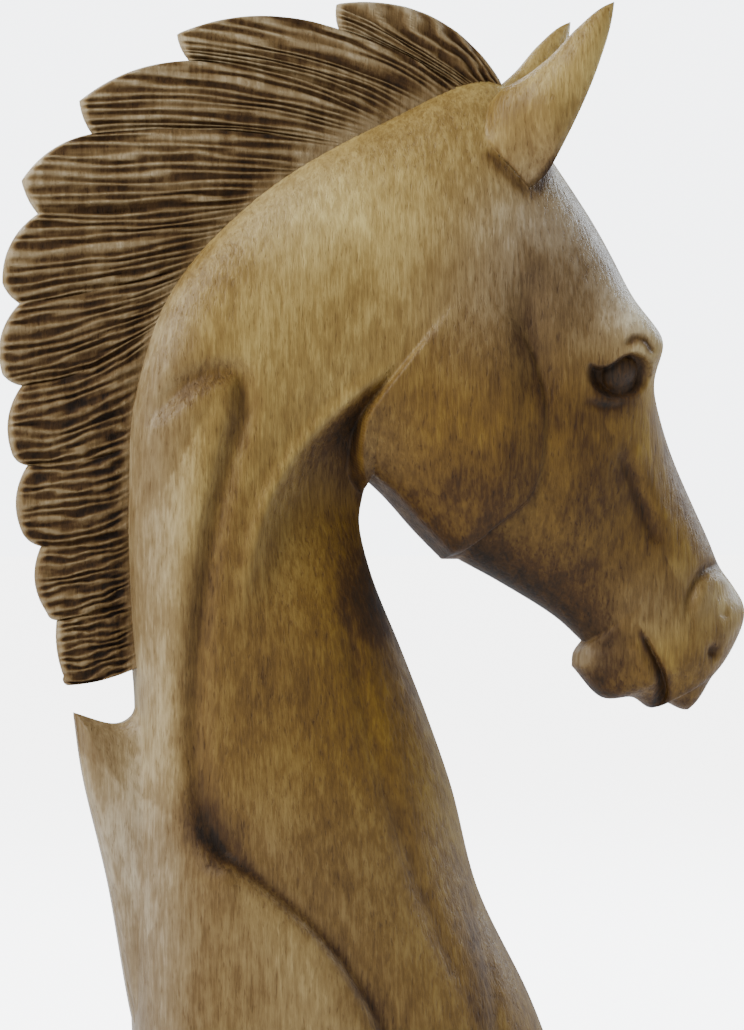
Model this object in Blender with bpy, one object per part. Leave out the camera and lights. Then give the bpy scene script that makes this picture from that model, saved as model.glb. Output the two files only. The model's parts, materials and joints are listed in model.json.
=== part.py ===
"""A carved wooden horse head bust, modelled as the one solid that it is.

The horse looks along +X and stands on z = 0, and its two sides mirror each other in the XZ plane.
HEIGHT is the one driving size. All other lengths are in thousandths of it, called shares here, and
they are turned into metres at the very end.
"""

import math

import bmesh
import bpy
import numpy as np

# Driving size in metres, from the flat underside to the tips of the ears and the mane
HEIGHT = 0.600
SHARES_IN_HEIGHT = 1000.0

# Cross sections of neck and head, from the underside round to the upper lip. Each runs in a straight line
# from its crest point (back of the neck, forehead, nose) to its throat point (breast, jaw, chin).
# Columns: crest x and z, throat x and z, half width, place of the widest point from crest to throat,
# squareness of the crest side and of the throat side, and 1 where the throat outline turns sharply.
STATIONS = (
    (-210, 0, 185, 0, 109, 0.50, 2.4, 2.2, 0),
    (-216, 112, 143, 112, 106, 0.50, 2.4, 2.2, 0),
    (-219, 212, 94, 213, 95, 0.50, 2.4, 2.2, 0),
    (-216, 305, 71, 303, 80, 0.48, 2.5, 2.1, 0),
    (-213, 376, 52, 358, 70, 0.46, 2.6, 2.1, 0),
    (-219, 452, 27, 422, 62, 0.45, 2.8, 2.1, 0),
    (-222, 558, -1, 491, 56, 0.45, 2.8, 2.0, 0),
    (-215, 655, -12, 536, 52, 0.45, 2.8, 2.0, 0),
    (-181, 748, -9, 562, 51, 0.48, 2.7, 2.0, 0),
    (-103, 830, -6, 572, 52, 0.50, 2.6, 2.1, 0),
    (7, 896, -5, 576, 54, 0.50, 2.4, 2.4, 1),
    (113, 934, 15, 557, 60, 0.52, 2.3, 2.4, 0),
    (162, 865, 39, 530, 66, 0.50, 2.6, 2.2, 0),
    (208, 791, 64, 505, 70, 0.45, 3.2, 2.1, 1),
    (224, 757, 79, 505, 71, 0.42, 3.6, 2.1, 1),
    (246, 681, 120, 483, 66, 0.38, 3.4, 2.1, 0),
    (274, 600, 169, 453, 49, 0.40, 2.5, 2.2, 0),
    (311, 521, 195, 430, 42, 0.45, 2.3, 2.2, 1),
    (322, 497, 186, 419, 41, 0.45, 2.2, 2.2, 0),
    (334, 481, 185, 408, 41, 0.45, 2.2, 2.2, 1),
    (345, 456, 212, 380, 40, 0.48, 2.2, 2.2, 0),
    (334, 426, 243, 379, 35, 0.50, 2.2, 2.2, 0),
    (325, 412, 258, 370, 30, 0.50, 2.2, 2.2, 0),
    (315, 400, 271, 376, 25, 0.50, 2.2, 2.2, 1),
    (299, 376, 289, 368, 12, 0.50, 2.1, 2.1, 0),
    (293, 369, 292, 368, 4, 0.50, 2.0, 2.0, 0),
)
BELOW_CUT = 15.0

# The relief is cut where the surface faces sideways: none below the first value, all above the second
CARVED_WHERE = (0.10, 0.45)
LEANS_WHERE = (0.40, 0.90)  # sideways facing from which the carving starts, then fully, to follow the normal

# The withers stand out behind the neck as a fin. Its outer edge runs from its top corner down into the body.
WITHERS_EDGE = ((-211, 382), (-217, 367), (-234, 361), (-268, 371), (-259, 311), (-237, 218), (-218, 110),
                (-196, 20))
WITHERS_CORNER = 3
WITHERS_ROOT_X = -170.0
WITHERS_ROOT_Z = (335.0, 20.0)
WITHERS_ROOT_HALF = 46.0
WITHERS_EDGE_HALF = 17.0
WITHERS_STEPS = (0.0, 0.4, 0.8, 0.94, 1.0)
WITHERS_ROWS = 29

# Carving on each side, as lines and outlines in the side view (x and z)
JOWL_OUTLINE = ((72, 746), (48, 715), (19, 680), (-3, 652), (-15, 634), (-20, 618), (-21, 600), (-18, 578),
                (6, 543), (33, 516), (50, 504), (66, 506), (84, 521), (108, 540), (129, 558), (140, 590),
                (142, 622), (138, 665), (111, 720))
JOWL_HEIGHT = 10.0
JOWL_EDGE = (-1.0, 2.5)
JOWL_FADE_Z = (640, 750)
JOWL_FADE_X = (100, 150)
JOWL_FADE_SHARE = 0.85
HOLLOW_RIDGE = ((-2, 668), (-35, 639), (-59, 617), (-83, 588), (-101, 558), (-113, 523), (-122, 488),
                (-132, 427))
HOLLOW_DEPTH = 14.0
HOLLOW_SLOPE = (-2, 30)
HOLLOW_FLAT = (40, 100)
HOLLOW_FLAT_SHARE = 0.5
HOLLOW_FADE_LOW_Z = (425, 560)
HOLLOW_FADE_HIGH_Z = (652, 680)
HOLLOW_FADE_X = (20, 50)
RIDGE_SHARE, RIDGE_AT, RIDGE_WIDTH = 0.25, 4, 6
SHOULDER_CREASE = ((-168, 267), (-150, 254), (-129, 237), (-102, 215), (-76, 192), (-54, 168), (-33, 137),
                   (-14, 102), (4, 58), (20, 0))
SHOULDER_HEIGHT = 7.0
SHOULDER_EDGE = (4, -8)
SHOULDER_AT, SHOULDER_WIDTH = 26, 44
SHOULDER_FADE = 0.25
NECK_GROOVE = ((-216, 615), (-196, 640), (-178, 658), (-154, 669), (-129, 668), (-124, 640), (-133, 608),
               (-149, 549), (-161, 479), (-169, 383), (-170, 331), (-165, 290), (-150, 252))
CHEST_CREASE = ((80, 212), (86, 178), (93, 142), (97, 89), (100, -10))
JUGULAR = ((-36, 470), (-22, 391), (2, 294), (36, 192), (77, 107))
TEMPLE = ((134, 770), (126, 726), (133, 682), (145, 637))
FACE_LINE = ((210, 604), (222, 585), (235, 558), (247, 531), (255, 516))
LID_FOLD = ((212, 692), (217, 700), (225, 706), (233, 704), (239, 696), (241, 690))
EYE_BAG = ((176, 647), (192, 641), (208, 641), (224, 649))
NOSTRIL_WING = ((313, 499), (301, 495), (291, 486), (285, 474), (282, 460), (282, 446))
CHIN_GROOVE = ((188, 433), (204, 424), (221, 427))

# Columns: the line, how deep and how wide its groove is, over what share of the line it fades in and out,
# then the height, the distance to the line's left and the width of the bank beside it.
NECK_GROOVES = (
    (NECK_GROOVE, 6.0, 9, 0.12, 0.0, 3.5, -22, 16),
    (SHOULDER_CREASE, 4.5, 6, 0.15, 0.0, -2.0, 16, 13),
    (CHEST_CREASE, 3.0, 7, 0.15, 0.0, 0.0, 0, 1),
    (JUGULAR, 2.0, 8, 0.15, 0.15, 0.0, 0, 1),
)
HEAD_GROOVES = (
    (TEMPLE, 4.5, 17, 0.25, 0.25, 0.0, 0, 1),
    (FACE_LINE, 3.0, 7, 0.20, 0.20, 1.5, 14, 9),
    (LID_FOLD, 3.0, 2.5, 0.20, 0.20, 0.0, 0, 1),
    (EYE_BAG, 1.8, 3.5, 0.20, 0.20, 1.5, 7, 5),
    (NOSTRIL_WING, 3.5, 4.5, 0.0, 0.40, 2.5, 12, 9),
    (CHIN_GROOVE, 3.0, 6, 0.20, 0.20, 0.0, 0, 1),
)
# Columns: x and z of the pit, its depth and its width
NOSTRIL_PITS = ((307, 421, 5.0, 6), (318, 456, 2.0, 5))
MOUTH = ((241, 438), (248, 425), (255, 412), (262, 397), (265, 386), (264, 370))
MOUTH_DEPTH = (4.0, 9.0)
MOUTH_WIDTH = (2.0, 9.0)
MOUTH_LIP_STEP = 2.0
MOUTH_FADE = 0.12
LOWER_LIP_HEIGHT, LOWER_LIP_AT, LOWER_LIP_WIDTH = 2.0, 13, 5
BROW = (230, 704)
BROW_SPREAD = 28.0
BROW_HEIGHT = 7.0
BROW_FORWARD = 21.0
BROW_OUTWARD = 4.0
BROW_INNER_Y = (14, 50)
UPPER_LID = ((170, 683), (182, 679), (192, 675), (200, 677), (208, 683), (216, 687), (225, 688), (232, 685),
             (238, 677), (241, 666))
LID_STEP = (1.2, -2.2)
SOCKET = (210, 671)
SOCKET_HALF_LENGTH = 32.0
SOCKET_HALF_HEIGHT = 26.0
SOCKET_FADE = (0.55, 1.0)
SOCKET_DEPTH = 12.0
EYEBALL = (214, 669)
EYEBALL_RADIUS = 17.0
EYEBALL_HEIGHT = 9.0

# The mane is a plate of locks, from the poll down the back of the neck. A row is the line between two
# locks: its root on the neck, its notch in the outer edge and how far it bends, then the tip of the lock
# that follows, the belly of that lock's outer edge, and the share of its hairs that end before the tip.
MANE_ROWS = (
    (118, 920, 116, 935, 0, -32, 1000, 26, 0.45),
    (87, 916, -29, 975, 8, -176, 970, 15, 0.45),
    (23, 893, -165, 946, 12, -263, 909, 9, 0.50),
    (-23, 871, -252, 880, 9, -314, 838, 8, 0.60),
    (-99, 823, -300, 809, -4, -331, 748, 9, 0.75),
    (-158, 766, -316, 730, -4, -331, 668, 9, 0.80),
    (-198, 706, -314, 658, -9, -322, 597, 8, 0.80),
    (-215, 606, -309, 588, -5, -313, 528, 8, 0.80),
    (-216, 531, -297, 517, -5, -292, 459, 8, 0.80),
    (-216, 466, -283, 452, -2, -277, 403, 3, 0.85),
    (-215, 410, -274, 395, -3, None, None, None, None),
)
MANE_ROOT_IN_NECK = 24.0
MANE_ROOT_HALF = 15.0
MANE_EDGE_HALF = 7.0
MANE_STEPS = (0.0, 0.3, 0.65, 0.95, 1.0)
ARC_STEPS = 41
OUTER_STEPS = 24
NOTCH_STEPS = 9
NOTCH_BELLY = 2.0
LOCK_RISE = (0.0, 0.3)
HAIR_RISE = (0.0, 0.25)
ROUNDING_SHARE = 0.86
RIM_SHARE = 0.45
LOCK_STEP = 4.0
LOCK_GAP = 0.04
HAIRS_PER_LOCK = 8
HAIR_GROOVE = 2.6

# Each ear from its base to its tip: back edge x and z, front edge x and z, distance from the mid-plane
EAR_ROWS = (
    (90, 880, 134, 832, 34),
    (108, 922, 149, 847, 41),
    (123, 931, 154, 860, 52),
    (146, 949, 172, 899, 63),
    (171, 976, 189, 943, 71),
    (196, 996, 201, 985, 75),
    (203, 999, 203, 997, 76),
)
EAR_DEPTH = 0.34
EAR_WALL = 6.0
EAR_WALL_SHARE = 0.3
EAR_WALL_ACROSS = 0.7
EAR_LONG_RADIUS = 0.62
EAR_OPENING = math.radians(58)

# How finely the forms are divided, and how many triangles the finished carving keeps
RING_SPACING = 5.0
SIDE_STEPS = 60
BODY_TRIANGLES = 4380
EAR_RINGS = 9
EAR_STEPS = 9
LINE_STEPS = 6
SHARP_ANGLE = math.radians(40)


def smooth_step(start, end, value):
    """Rise smoothly from 0 to 1 while value runs from start to end."""
    share = np.clip((value - start) / (end - start), 0.0, 1.0)
    return share * share * (3.0 - 2.0 * share)


def hump(value, width):
    """A bell-shaped hump, 1 high at 0 and nearly gone at twice the width."""
    return np.exp(-(value / width) ** 2)


def tangents(places, values, corners):
    """Slopes before and after each row of values, equal except at the corners."""
    steps = np.diff(places)[:, None]
    slopes = np.diff(values, axis=0) / steps
    middle = (slopes[:-1] * steps[1:] + slopes[1:] * steps[:-1]) / (steps[1:] + steps[:-1])
    before = np.vstack((slopes[:1], middle, slopes[-1:]))
    after = before.copy()
    for corner in corners:
        before[corner] = slopes[corner - 1]
        after[corner] = slopes[corner]
    return before, after


def curve_through(places, values, corners, wanted):
    """Read a smooth curve through the rows of values at the wanted places."""
    values = np.asarray(values, dtype=float)
    before, after = tangents(places, values, corners)
    index = np.clip(np.searchsorted(places, wanted, side="right") - 1, 0, len(places) - 2)
    span = (places[index + 1] - places[index])[:, None]
    share = (wanted[:, None] - places[index][:, None]) / span
    square, cube = share ** 2, share ** 3
    return ((2 * cube - 3 * square + 1) * values[index] + (cube - 2 * square + share) * span * after[index]
            + (3 * square - 2 * cube) * values[index + 1] + (cube - square) * span * before[index + 1])


def smooth_line(points, steps=LINE_STEPS):
    """Resample a line of side-view points as a smooth curve."""
    points = np.asarray(points, dtype=float)
    places = np.concatenate(([0.0], np.cumsum(np.linalg.norm(np.diff(points, axis=0), axis=1))))
    wanted = np.concatenate([np.linspace(a, b, steps, endpoint=False) for a, b in zip(places, places[1:])])
    return curve_through(places, points, (), np.append(wanted, places[-1]))


def beside_line(side_view, line):
    """For each point, its distance from a line, signed to be positive on the line's left, and its place."""
    curve = smooth_line(line)
    best = np.full(len(side_view), np.inf)
    sign = np.ones(len(side_view))
    place = np.zeros(len(side_view))
    for number, (start, end) in enumerate(zip(curve, curve[1:])):
        along = end - start
        offset = side_view - start
        share = np.clip(offset @ along / (along @ along), 0.0, 1.0)
        distance = np.linalg.norm(offset - share[:, None] * along, axis=1)
        closer = distance < best
        best[closer] = distance[closer]
        turn = along[0] * offset[:, 1] - along[1] * offset[:, 0]
        sign[closer] = np.where(turn[closer] >= 0.0, 1.0, -1.0)
        place[closer] = (number + share[closer]) / (len(curve) - 1)
    return best * sign, place


def inside_outline(side_view, outline):
    """For each point, its distance from a closed outline, positive inside."""
    curve = smooth_line(tuple(outline) + outline[:1])
    distance = np.abs(beside_line(side_view, tuple(outline) + outline[:1])[0])
    crossings = np.zeros(len(side_view), dtype=int)
    for start, end in zip(curve, curve[1:]):
        spans = (start[1] > side_view[:, 1]) != (end[1] > side_view[:, 1])
        rise = end[1] - start[1] if end[1] != start[1] else 1e-9
        meets = start[0] + (side_view[:, 1] - start[1]) / rise * (end[0] - start[0])
        crossings += spans & (side_view[:, 0] < meets)
    return np.where(crossings % 2 == 1, distance, -distance)


def ring_rows():
    """The stations, with rings added between them at an even spacing, and one below the cut."""
    rows = np.asarray(STATIONS, dtype=float)
    steps = 0.5 * (np.hypot(*np.diff(rows[:, 0:2], axis=0).T) + np.hypot(*np.diff(rows[:, 2:4], axis=0).T))
    places = np.concatenate(([0.0], np.cumsum(steps)))
    counts = np.maximum(1, np.round(steps / RING_SPACING)).astype(int)
    spans = zip(places, places[1:], counts)
    wanted = [np.linspace(a, b, count, endpoint=False) for a, b, count in spans]
    wanted = np.concatenate(wanted + [places[-1:]])
    crest = curve_through(places, rows[:, 0:2], (), wanted)
    throat = curve_through(places, rows[:, 2:4], np.flatnonzero(rows[:, 8]), wanted)
    shape = curve_through(places, rows[:, 4:8], (), wanted)
    below = np.concatenate((crest[0], throat[0], shape[0]))
    below[[1, 3]] -= BELOW_CUT
    return np.vstack((below, np.hstack((crest, throat, shape))))


def half_section(length, half_width, widest, crest_power, throat_power):
    """One side of a cross section: distance from the crest point and half width, evenly spaced."""
    angle = np.linspace(0.0, math.pi, 4 * SIDE_STEPS + 1)
    crest_side = angle <= math.pi / 2
    power = np.where(crest_side, crest_power, throat_power)
    run = np.abs(np.cos(angle)) ** (2.0 / power)
    rise = np.clip(np.sin(angle), 0.0, 1.0) ** (2.0 / power)
    share = np.where(crest_side, widest * (1.0 - run), widest + (1.0 - widest) * run)
    along, across = share * length, rise * half_width
    walk = np.concatenate(([0.0], np.cumsum(np.hypot(np.diff(along), np.diff(across)))))
    even = np.linspace(0.0, walk[-1], SIDE_STEPS + 1)
    return np.interp(even, walk, along), np.interp(even, walk, across)


def mesh_from(name, points, faces):
    """Make a mesh from points and faces, with its faces turned outward."""
    mesh = bpy.data.meshes.new(name)
    mesh.from_pydata([tuple(point) for point in points], [], faces)
    tidy = bmesh.new()
    tidy.from_mesh(mesh)
    bmesh.ops.recalc_face_normals(tidy, faces=tidy.faces)
    tidy.to_mesh(mesh)
    tidy.free()
    mesh.update()
    return mesh


def ring_faces(rings, around):
    """Quads between closed rings of points that follow each other, with both ends closed."""
    faces = []
    for ring in range(rings - 1):
        for step in range(around):
            following = (step + 1) % around
            faces.append((ring * around + step, ring * around + following,
                          (ring + 1) * around + following, (ring + 1) * around + step))
    faces.append(tuple(range(around)))
    faces.append(tuple(range((rings - 1) * around, rings * around)))
    return faces


def body_mesh():
    """Neck and head, before carving: rings of the cross sections, bridged."""
    rows = ring_rows()
    points = []
    for crest_x, crest_z, throat_x, throat_z, *shape in rows:
        length = math.hypot(throat_x - crest_x, throat_z - crest_z)
        along, across = half_section(length, *shape)
        x = crest_x + (throat_x - crest_x) * along / length
        z = crest_z + (throat_z - crest_z) * along / length
        near = np.column_stack((x, -across, z))
        near[[0, -1], 1] = 0.0
        far = near[-2:0:-1] * (1.0, -1.0, 1.0)
        points.append(np.vstack((near, far)))
    return mesh_from("body", np.vstack(points), ring_faces(len(rows), 2 * SIDE_STEPS))


def grooves(side_view, rows):
    """The height of a set of grooves and of the banks beside them, for each point of the side view."""
    height = np.zeros(len(side_view))
    for line, depth, width, fade_in, fade_out, bank, bank_at, bank_width in rows:
        distance, place = beside_line(side_view, line)
        fade = np.ones(len(side_view))
        if fade_in > 0.0:
            fade = fade * smooth_step(0.0, fade_in, place)
        if fade_out > 0.0:
            fade = fade * smooth_step(0.0, fade_out, 1.0 - place)
        height = height + fade * (bank * hump(distance - bank_at, bank_width) - depth * hump(distance, width))
    return height


def neck_relief(side_view):
    """Carving of the neck and chest, as a height for each point of the side view."""
    x, z = side_view.T
    ridge, _ = beside_line(side_view, HOLLOW_RIDGE)
    depth = HOLLOW_DEPTH * smooth_step(*HOLLOW_FADE_LOW_Z, z) * (1.0 - smooth_step(*HOLLOW_FADE_HIGH_Z, z))
    depth = depth * (1.0 - smooth_step(*HOLLOW_FADE_X, x))
    depth = depth * (1.0 - smooth_step(*JOWL_EDGE, inside_outline(side_view, JOWL_OUTLINE)))
    flatter = 1.0 - HOLLOW_FLAT_SHARE * smooth_step(*HOLLOW_FLAT, ridge)
    height = -depth * smooth_step(*HOLLOW_SLOPE, ridge) * flatter
    height = height + RIDGE_SHARE * depth * hump(ridge + RIDGE_AT, RIDGE_WIDTH)
    crease, place = beside_line(side_view, SHOULDER_CREASE)
    raised = smooth_step(*SHOULDER_EDGE, crease) * hump(crease + SHOULDER_AT, SHOULDER_WIDTH)
    height = height + SHOULDER_HEIGHT * raised * smooth_step(0.0, SHOULDER_FADE, place)
    return height + grooves(side_view, NECK_GROOVES)


def head_relief(side_view):
    """Carving of the cheek, temple, nose and mouth, as a height for each point of the side view."""
    x, z = side_view.T
    jowl = inside_outline(side_view, JOWL_OUTLINE)
    fade = (1.0 - smooth_step(*JOWL_FADE_Z, z)) * (1.0 - JOWL_FADE_SHARE * smooth_step(*JOWL_FADE_X, x))
    height = JOWL_HEIGHT * fade * smooth_step(*JOWL_EDGE, jowl)
    for pit_x, pit_z, depth, width in NOSTRIL_PITS:
        height = height - depth * hump(np.hypot(x - pit_x, z - pit_z), width)
    return height + grooves(side_view, HEAD_GROOVES) + mouth_relief(side_view) + eye_relief(side_view)


def mouth_relief(side_view):
    """The cut between the lips: a wedge, narrow at its corner, steep on the side of the upper lip."""
    lips, place = beside_line(side_view, MOUTH)
    width = MOUTH_WIDTH[0] + (MOUTH_WIDTH[1] - MOUTH_WIDTH[0]) * place
    depth = MOUTH_DEPTH[0] + (MOUTH_DEPTH[1] - MOUTH_DEPTH[0]) * place
    cut = np.where(lips > 0.0, smooth_step(0.0, 1.0, 1.0 - lips / MOUTH_LIP_STEP), hump(lips, width))
    lower_lip = LOWER_LIP_HEIGHT * hump(lips + LOWER_LIP_AT, LOWER_LIP_WIDTH)
    return (lower_lip - depth * cut) * smooth_step(0.0, MOUTH_FADE, place)


def brow_distance(side_view):
    """Distance in the side view from the middle of the brow."""
    return np.hypot(side_view[:, 0] - BROW[0], side_view[:, 1] - BROW[1])


def socket_reach(side_view):
    """How far each point is from the middle of the eye's socket, where 1 is the socket's edge."""
    along = (side_view[:, 0] - SOCKET[0]) / SOCKET_HALF_LENGTH
    across = (side_view[:, 1] - SOCKET[1]) / SOCKET_HALF_HEIGHT
    return np.hypot(along, across)


def eye_relief(side_view):
    """The brow's swell, and under the edge of the upper lid the socket with the eyeball in it."""
    lid, _ = beside_line(side_view, UPPER_LID)
    under_lid = smooth_step(*LID_STEP, lid) * (1.0 - smooth_step(*SOCKET_FADE, socket_reach(side_view)))
    ball = np.hypot(side_view[:, 0] - EYEBALL[0], side_view[:, 1] - EYEBALL[1]) / EYEBALL_RADIUS
    ball = np.sqrt(np.clip(1.0 - ball ** 2, 0.0, 1.0))
    swell = BROW_HEIGHT * hump(brow_distance(side_view), BROW_SPREAD)
    return swell - under_lid * (SOCKET_DEPTH - EYEBALL_HEIGHT * ball)


def carve(mesh):
    """Raise and lower the surface by the relief where it faces sideways, and push the brow forward."""
    points = np.empty(len(mesh.vertices) * 3)
    normals = np.empty(len(mesh.vertices) * 3)
    mesh.vertices.foreach_get("co", points)
    mesh.vertices.foreach_get("normal", normals)
    points = points.reshape(-1, 3)
    normals = normals.reshape(-1, 3)
    side_view = points[:, [0, 2]]
    sideways = smooth_step(*CARVED_WHERE, np.abs(normals[:, 1]))
    height = (neck_relief(side_view) + head_relief(side_view)) * sideways
    brow = hump(brow_distance(side_view), BROW_SPREAD) * smooth_step(*BROW_INNER_Y, np.abs(points[:, 1]))
    outward = np.sign(points[:, 1])
    push = np.column_stack((BROW_FORWARD * brow, BROW_OUTWARD * brow * outward, np.zeros(len(points))))
    lean = smooth_step(*LEANS_WHERE, np.abs(normals[:, 1]))
    turned = normals * np.column_stack((lean, np.ones(len(points)), lean))
    points = points + turned * height[:, None] + push
    mesh.vertices.foreach_set("co", points.ravel())
    mesh.update()


def decimated(mesh, triangles):
    """The same surface with about the wanted number of triangles, closest where it bends most."""
    carver = bpy.data.objects.new("fine_body", mesh)
    bpy.context.collection.objects.link(carver)
    count = sum(len(face.vertices) - 2 for face in mesh.polygons)
    modifier = carver.modifiers.new("fewer_triangles", "DECIMATE")
    modifier.ratio = triangles / count
    return finished_mesh(carver)


def finished_mesh(thing):
    """The mesh of an object with its modifiers applied; the object is removed."""
    graph = bpy.context.evaluated_depsgraph_get()
    mesh = bpy.data.meshes.new_from_object(thing.evaluated_get(graph))
    bpy.data.objects.remove(thing)
    return mesh


def arc_between(start, end, belly, steps):
    """Points from start to end on a curve that swells to its right by the belly."""
    start, end = np.asarray(start, dtype=float), np.asarray(end, dtype=float)
    share = np.linspace(0.0, 1.0, steps)[:, None]
    along = end - start
    right = np.array((along[1], -along[0])) / max(np.linalg.norm(along), 1e-6)
    return start + share * along + right * belly * 4.0 * share * (1.0 - share)


def lock_patch(upper, lower, hairs, steps):
    """Side-view points of one lock, as rows of hairs from the upper line to the lower line."""
    along = np.asarray(steps)[:, None]
    upper_line = arc_between(upper[0:2], upper[2:4], upper[4], ARC_STEPS)
    lower_line = arc_between(lower[0:2], lower[2:4], lower[4], ARC_STEPS)
    fine = np.linspace(0.0, 1.0, ARC_STEPS)
    edge = np.vstack((arc_between(upper[2:4], upper[5:7], upper[7], OUTER_STEPS),
                      arc_between(upper[5:7], lower[2:4], NOTCH_BELLY, NOTCH_STEPS)[1:]))
    edge_place = np.concatenate((np.linspace(0.0, upper[8], OUTER_STEPS),
                                 np.linspace(upper[8], 1.0, NOTCH_STEPS)[1:]))
    rows = []
    for hair in hairs:
        first = np.column_stack([np.interp(along[:, 0], fine, upper_line[:, axis]) for axis in (0, 1)])
        second = np.column_stack([np.interp(along[:, 0], fine, lower_line[:, axis]) for axis in (0, 1)])
        end = np.array([np.interp(hair, edge_place, edge[:, axis]) for axis in (0, 1)])
        straight_end = (1.0 - hair) * upper_line[-1] + hair * lower_line[-1]
        rows.append((1.0 - hair) * first + hair * second + along ** 2 * (end - straight_end))
    return np.asarray(rows)


def plate_mesh(name, columns):
    """A plate that mirrors itself in the mid-plane, from columns of x, z and half thickness."""
    columns = np.asarray(columns)
    count, length = columns.shape[:2]
    near = np.stack((columns[..., 0], -columns[..., 2], columns[..., 1]), axis=-1)
    far = near * (1.0, -1.0, 1.0)
    loops = np.concatenate((near, far[:, ::-1]), axis=1)
    return mesh_from(name, loops.reshape(-1, 3), ring_faces(count, 2 * length))


def mane_mesh():
    """The mane: a plate of overlapping locks, grooved along its hairs, with its root inside the neck."""
    steps = np.array(MANE_STEPS)
    reach = np.concatenate(([0.0], steps))
    columns = []
    for upper, lower in zip(MANE_ROWS, MANE_ROWS[1:]):
        places = np.linspace(0.0, 1.0, 2 * HAIRS_PER_LOCK + 1)
        places[0] = LOCK_GAP
        side = lock_patch(upper, lower, places, steps)
        into_neck = side[:, 0] - side[:, 1]
        into_neck /= np.linalg.norm(into_neck, axis=1)[:, None]
        root = side[:, 0] + into_neck * MANE_ROOT_IN_NECK
        side = np.concatenate((root[:, None], side), axis=1)
        for number, place in enumerate(places):
            half = MANE_ROOT_HALF + (MANE_EDGE_HALF - MANE_ROOT_HALF) * reach
            half = half + LOCK_STEP * (1.0 - place) * smooth_step(*LOCK_RISE, reach)
            half = half - HAIR_GROOVE * (number % 2 == 0) * smooth_step(*HAIR_RISE, reach)
            half[-1] *= RIM_SHARE
            columns.append(np.column_stack((side[number], half)))
    return plate_mesh("mane", columns)


def withers_mesh():
    """The fin of the withers, thick at its root in the body and thin at its rounded edge."""
    places = np.arange(float(len(WITHERS_EDGE)))
    wanted = np.linspace(0.0, places[-1], WITHERS_ROWS)
    edge = curve_through(places, WITHERS_EDGE, (WITHERS_CORNER,), wanted)
    reach = np.array(WITHERS_STEPS)
    half = WITHERS_ROOT_HALF + (WITHERS_EDGE_HALF - WITHERS_ROOT_HALF) * reach
    half[-2:] *= (ROUNDING_SHARE, RIM_SHARE)
    columns = []
    for (x, z), root_z in zip(edge, np.linspace(*WITHERS_ROOT_Z, len(edge))):
        columns.append(np.column_stack((WITHERS_ROOT_X + (x - WITHERS_ROOT_X) * reach,
                                        root_z + (z - root_z) * reach, half)))
    return plate_mesh("withers", columns)


def ear_mesh(side):
    """One ear, as a cupped leaf open to the front: -1 is the near side and 1 the far side."""
    rows = np.asarray(EAR_ROWS, dtype=float)
    places = np.concatenate(([0.0], np.cumsum(np.hypot(*np.diff(rows[:, 0:2], axis=0).T))))
    rows = curve_through(places, rows, (), np.linspace(0.0, places[-1], EAR_RINGS))
    outer = np.linspace(EAR_OPENING, 2.0 * math.pi - EAR_OPENING, EAR_STEPS)
    inner = outer[::-1]
    points = []
    for back_x, back_z, front_x, front_z, away in rows:
        width = math.hypot(front_x - back_x, front_z - back_z)
        wall = min(EAR_WALL, EAR_WALL_SHARE * width)
        long_radius, deep_radius = EAR_LONG_RADIUS * width, EAR_DEPTH * width
        along = np.concatenate((long_radius * (1.0 + np.cos(outer)),
                                long_radius + (long_radius - wall) * np.cos(inner)))
        across = np.concatenate((deep_radius * np.sin(outer),
                                 (deep_radius - EAR_WALL_ACROSS * wall) * np.sin(inner)))
        x = back_x + (front_x - back_x) * along / width
        z = back_z + (front_z - back_z) * along / width
        points.append(np.column_stack((x, side * (away + across), z)))
    return mesh_from("ear", np.vstack(points), ring_faces(len(rows), 2 * len(outer)))


def join_to(carving, mesh):
    """Fuse another closed form into the carving with an exact union."""
    tool = bpy.data.objects.new("tool", mesh)
    bpy.context.collection.objects.link(tool)
    tool.hide_render = True
    tool.display_type = "WIRE"
    modifier = carving.modifiers.new("join", "BOOLEAN")
    modifier.operation = "UNION"
    modifier.solver = "EXACT"
    modifier.object = tool
    graph = bpy.context.evaluated_depsgraph_get()
    carving.data = bpy.data.meshes.new_from_object(carving.evaluated_get(graph))
    carving.modifiers.clear()
    bpy.data.objects.remove(tool)


def drop_shavings(mesh):
    """Keep the one large body, without the hair-thin shavings that a union can leave beside it."""
    work = bmesh.new()
    work.from_mesh(mesh)
    unseen = set(work.verts)
    bodies = []
    while unseen:
        reached = [unseen.pop()]
        for corner in reached:
            for edge in corner.link_edges:
                other = edge.other_vert(corner)
                if other in unseen:
                    unseen.remove(other)
                    reached.append(other)
        bodies.append(reached)
    bodies.sort(key=len)
    for shaving in bodies[:-1]:
        bmesh.ops.delete(work, geom=shaving, context="VERTS")
    work.to_mesh(mesh)
    work.free()


def cut_flat_and_centre(mesh):
    """Cut the underside flat at z = 0, scale shares to metres and centre the part over the origin."""
    work = bmesh.new()
    work.from_mesh(mesh)
    everything = work.verts[:] + work.edges[:] + work.faces[:]
    bmesh.ops.bisect_plane(work, geom=everything, dist=1e-4, plane_co=(0, 0, 0), plane_no=(0, 0, -1),
                           clear_outer=True)
    rim = [edge for edge in work.edges if edge.is_boundary]
    bmesh.ops.contextual_create(work, geom=rim)
    bmesh.ops.recalc_face_normals(work, faces=work.faces)
    work.to_mesh(mesh)
    work.free()
    points = np.empty(len(mesh.vertices) * 3)
    mesh.vertices.foreach_get("co", points)
    points = points.reshape(-1, 3)
    points[:, 0:2] -= 0.5 * (points[:, 0:2].min(axis=0) + points[:, 0:2].max(axis=0))
    mesh.vertices.foreach_set("co", (points * HEIGHT / SHARES_IN_HEIGHT).ravel())
    mesh.update()


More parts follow.
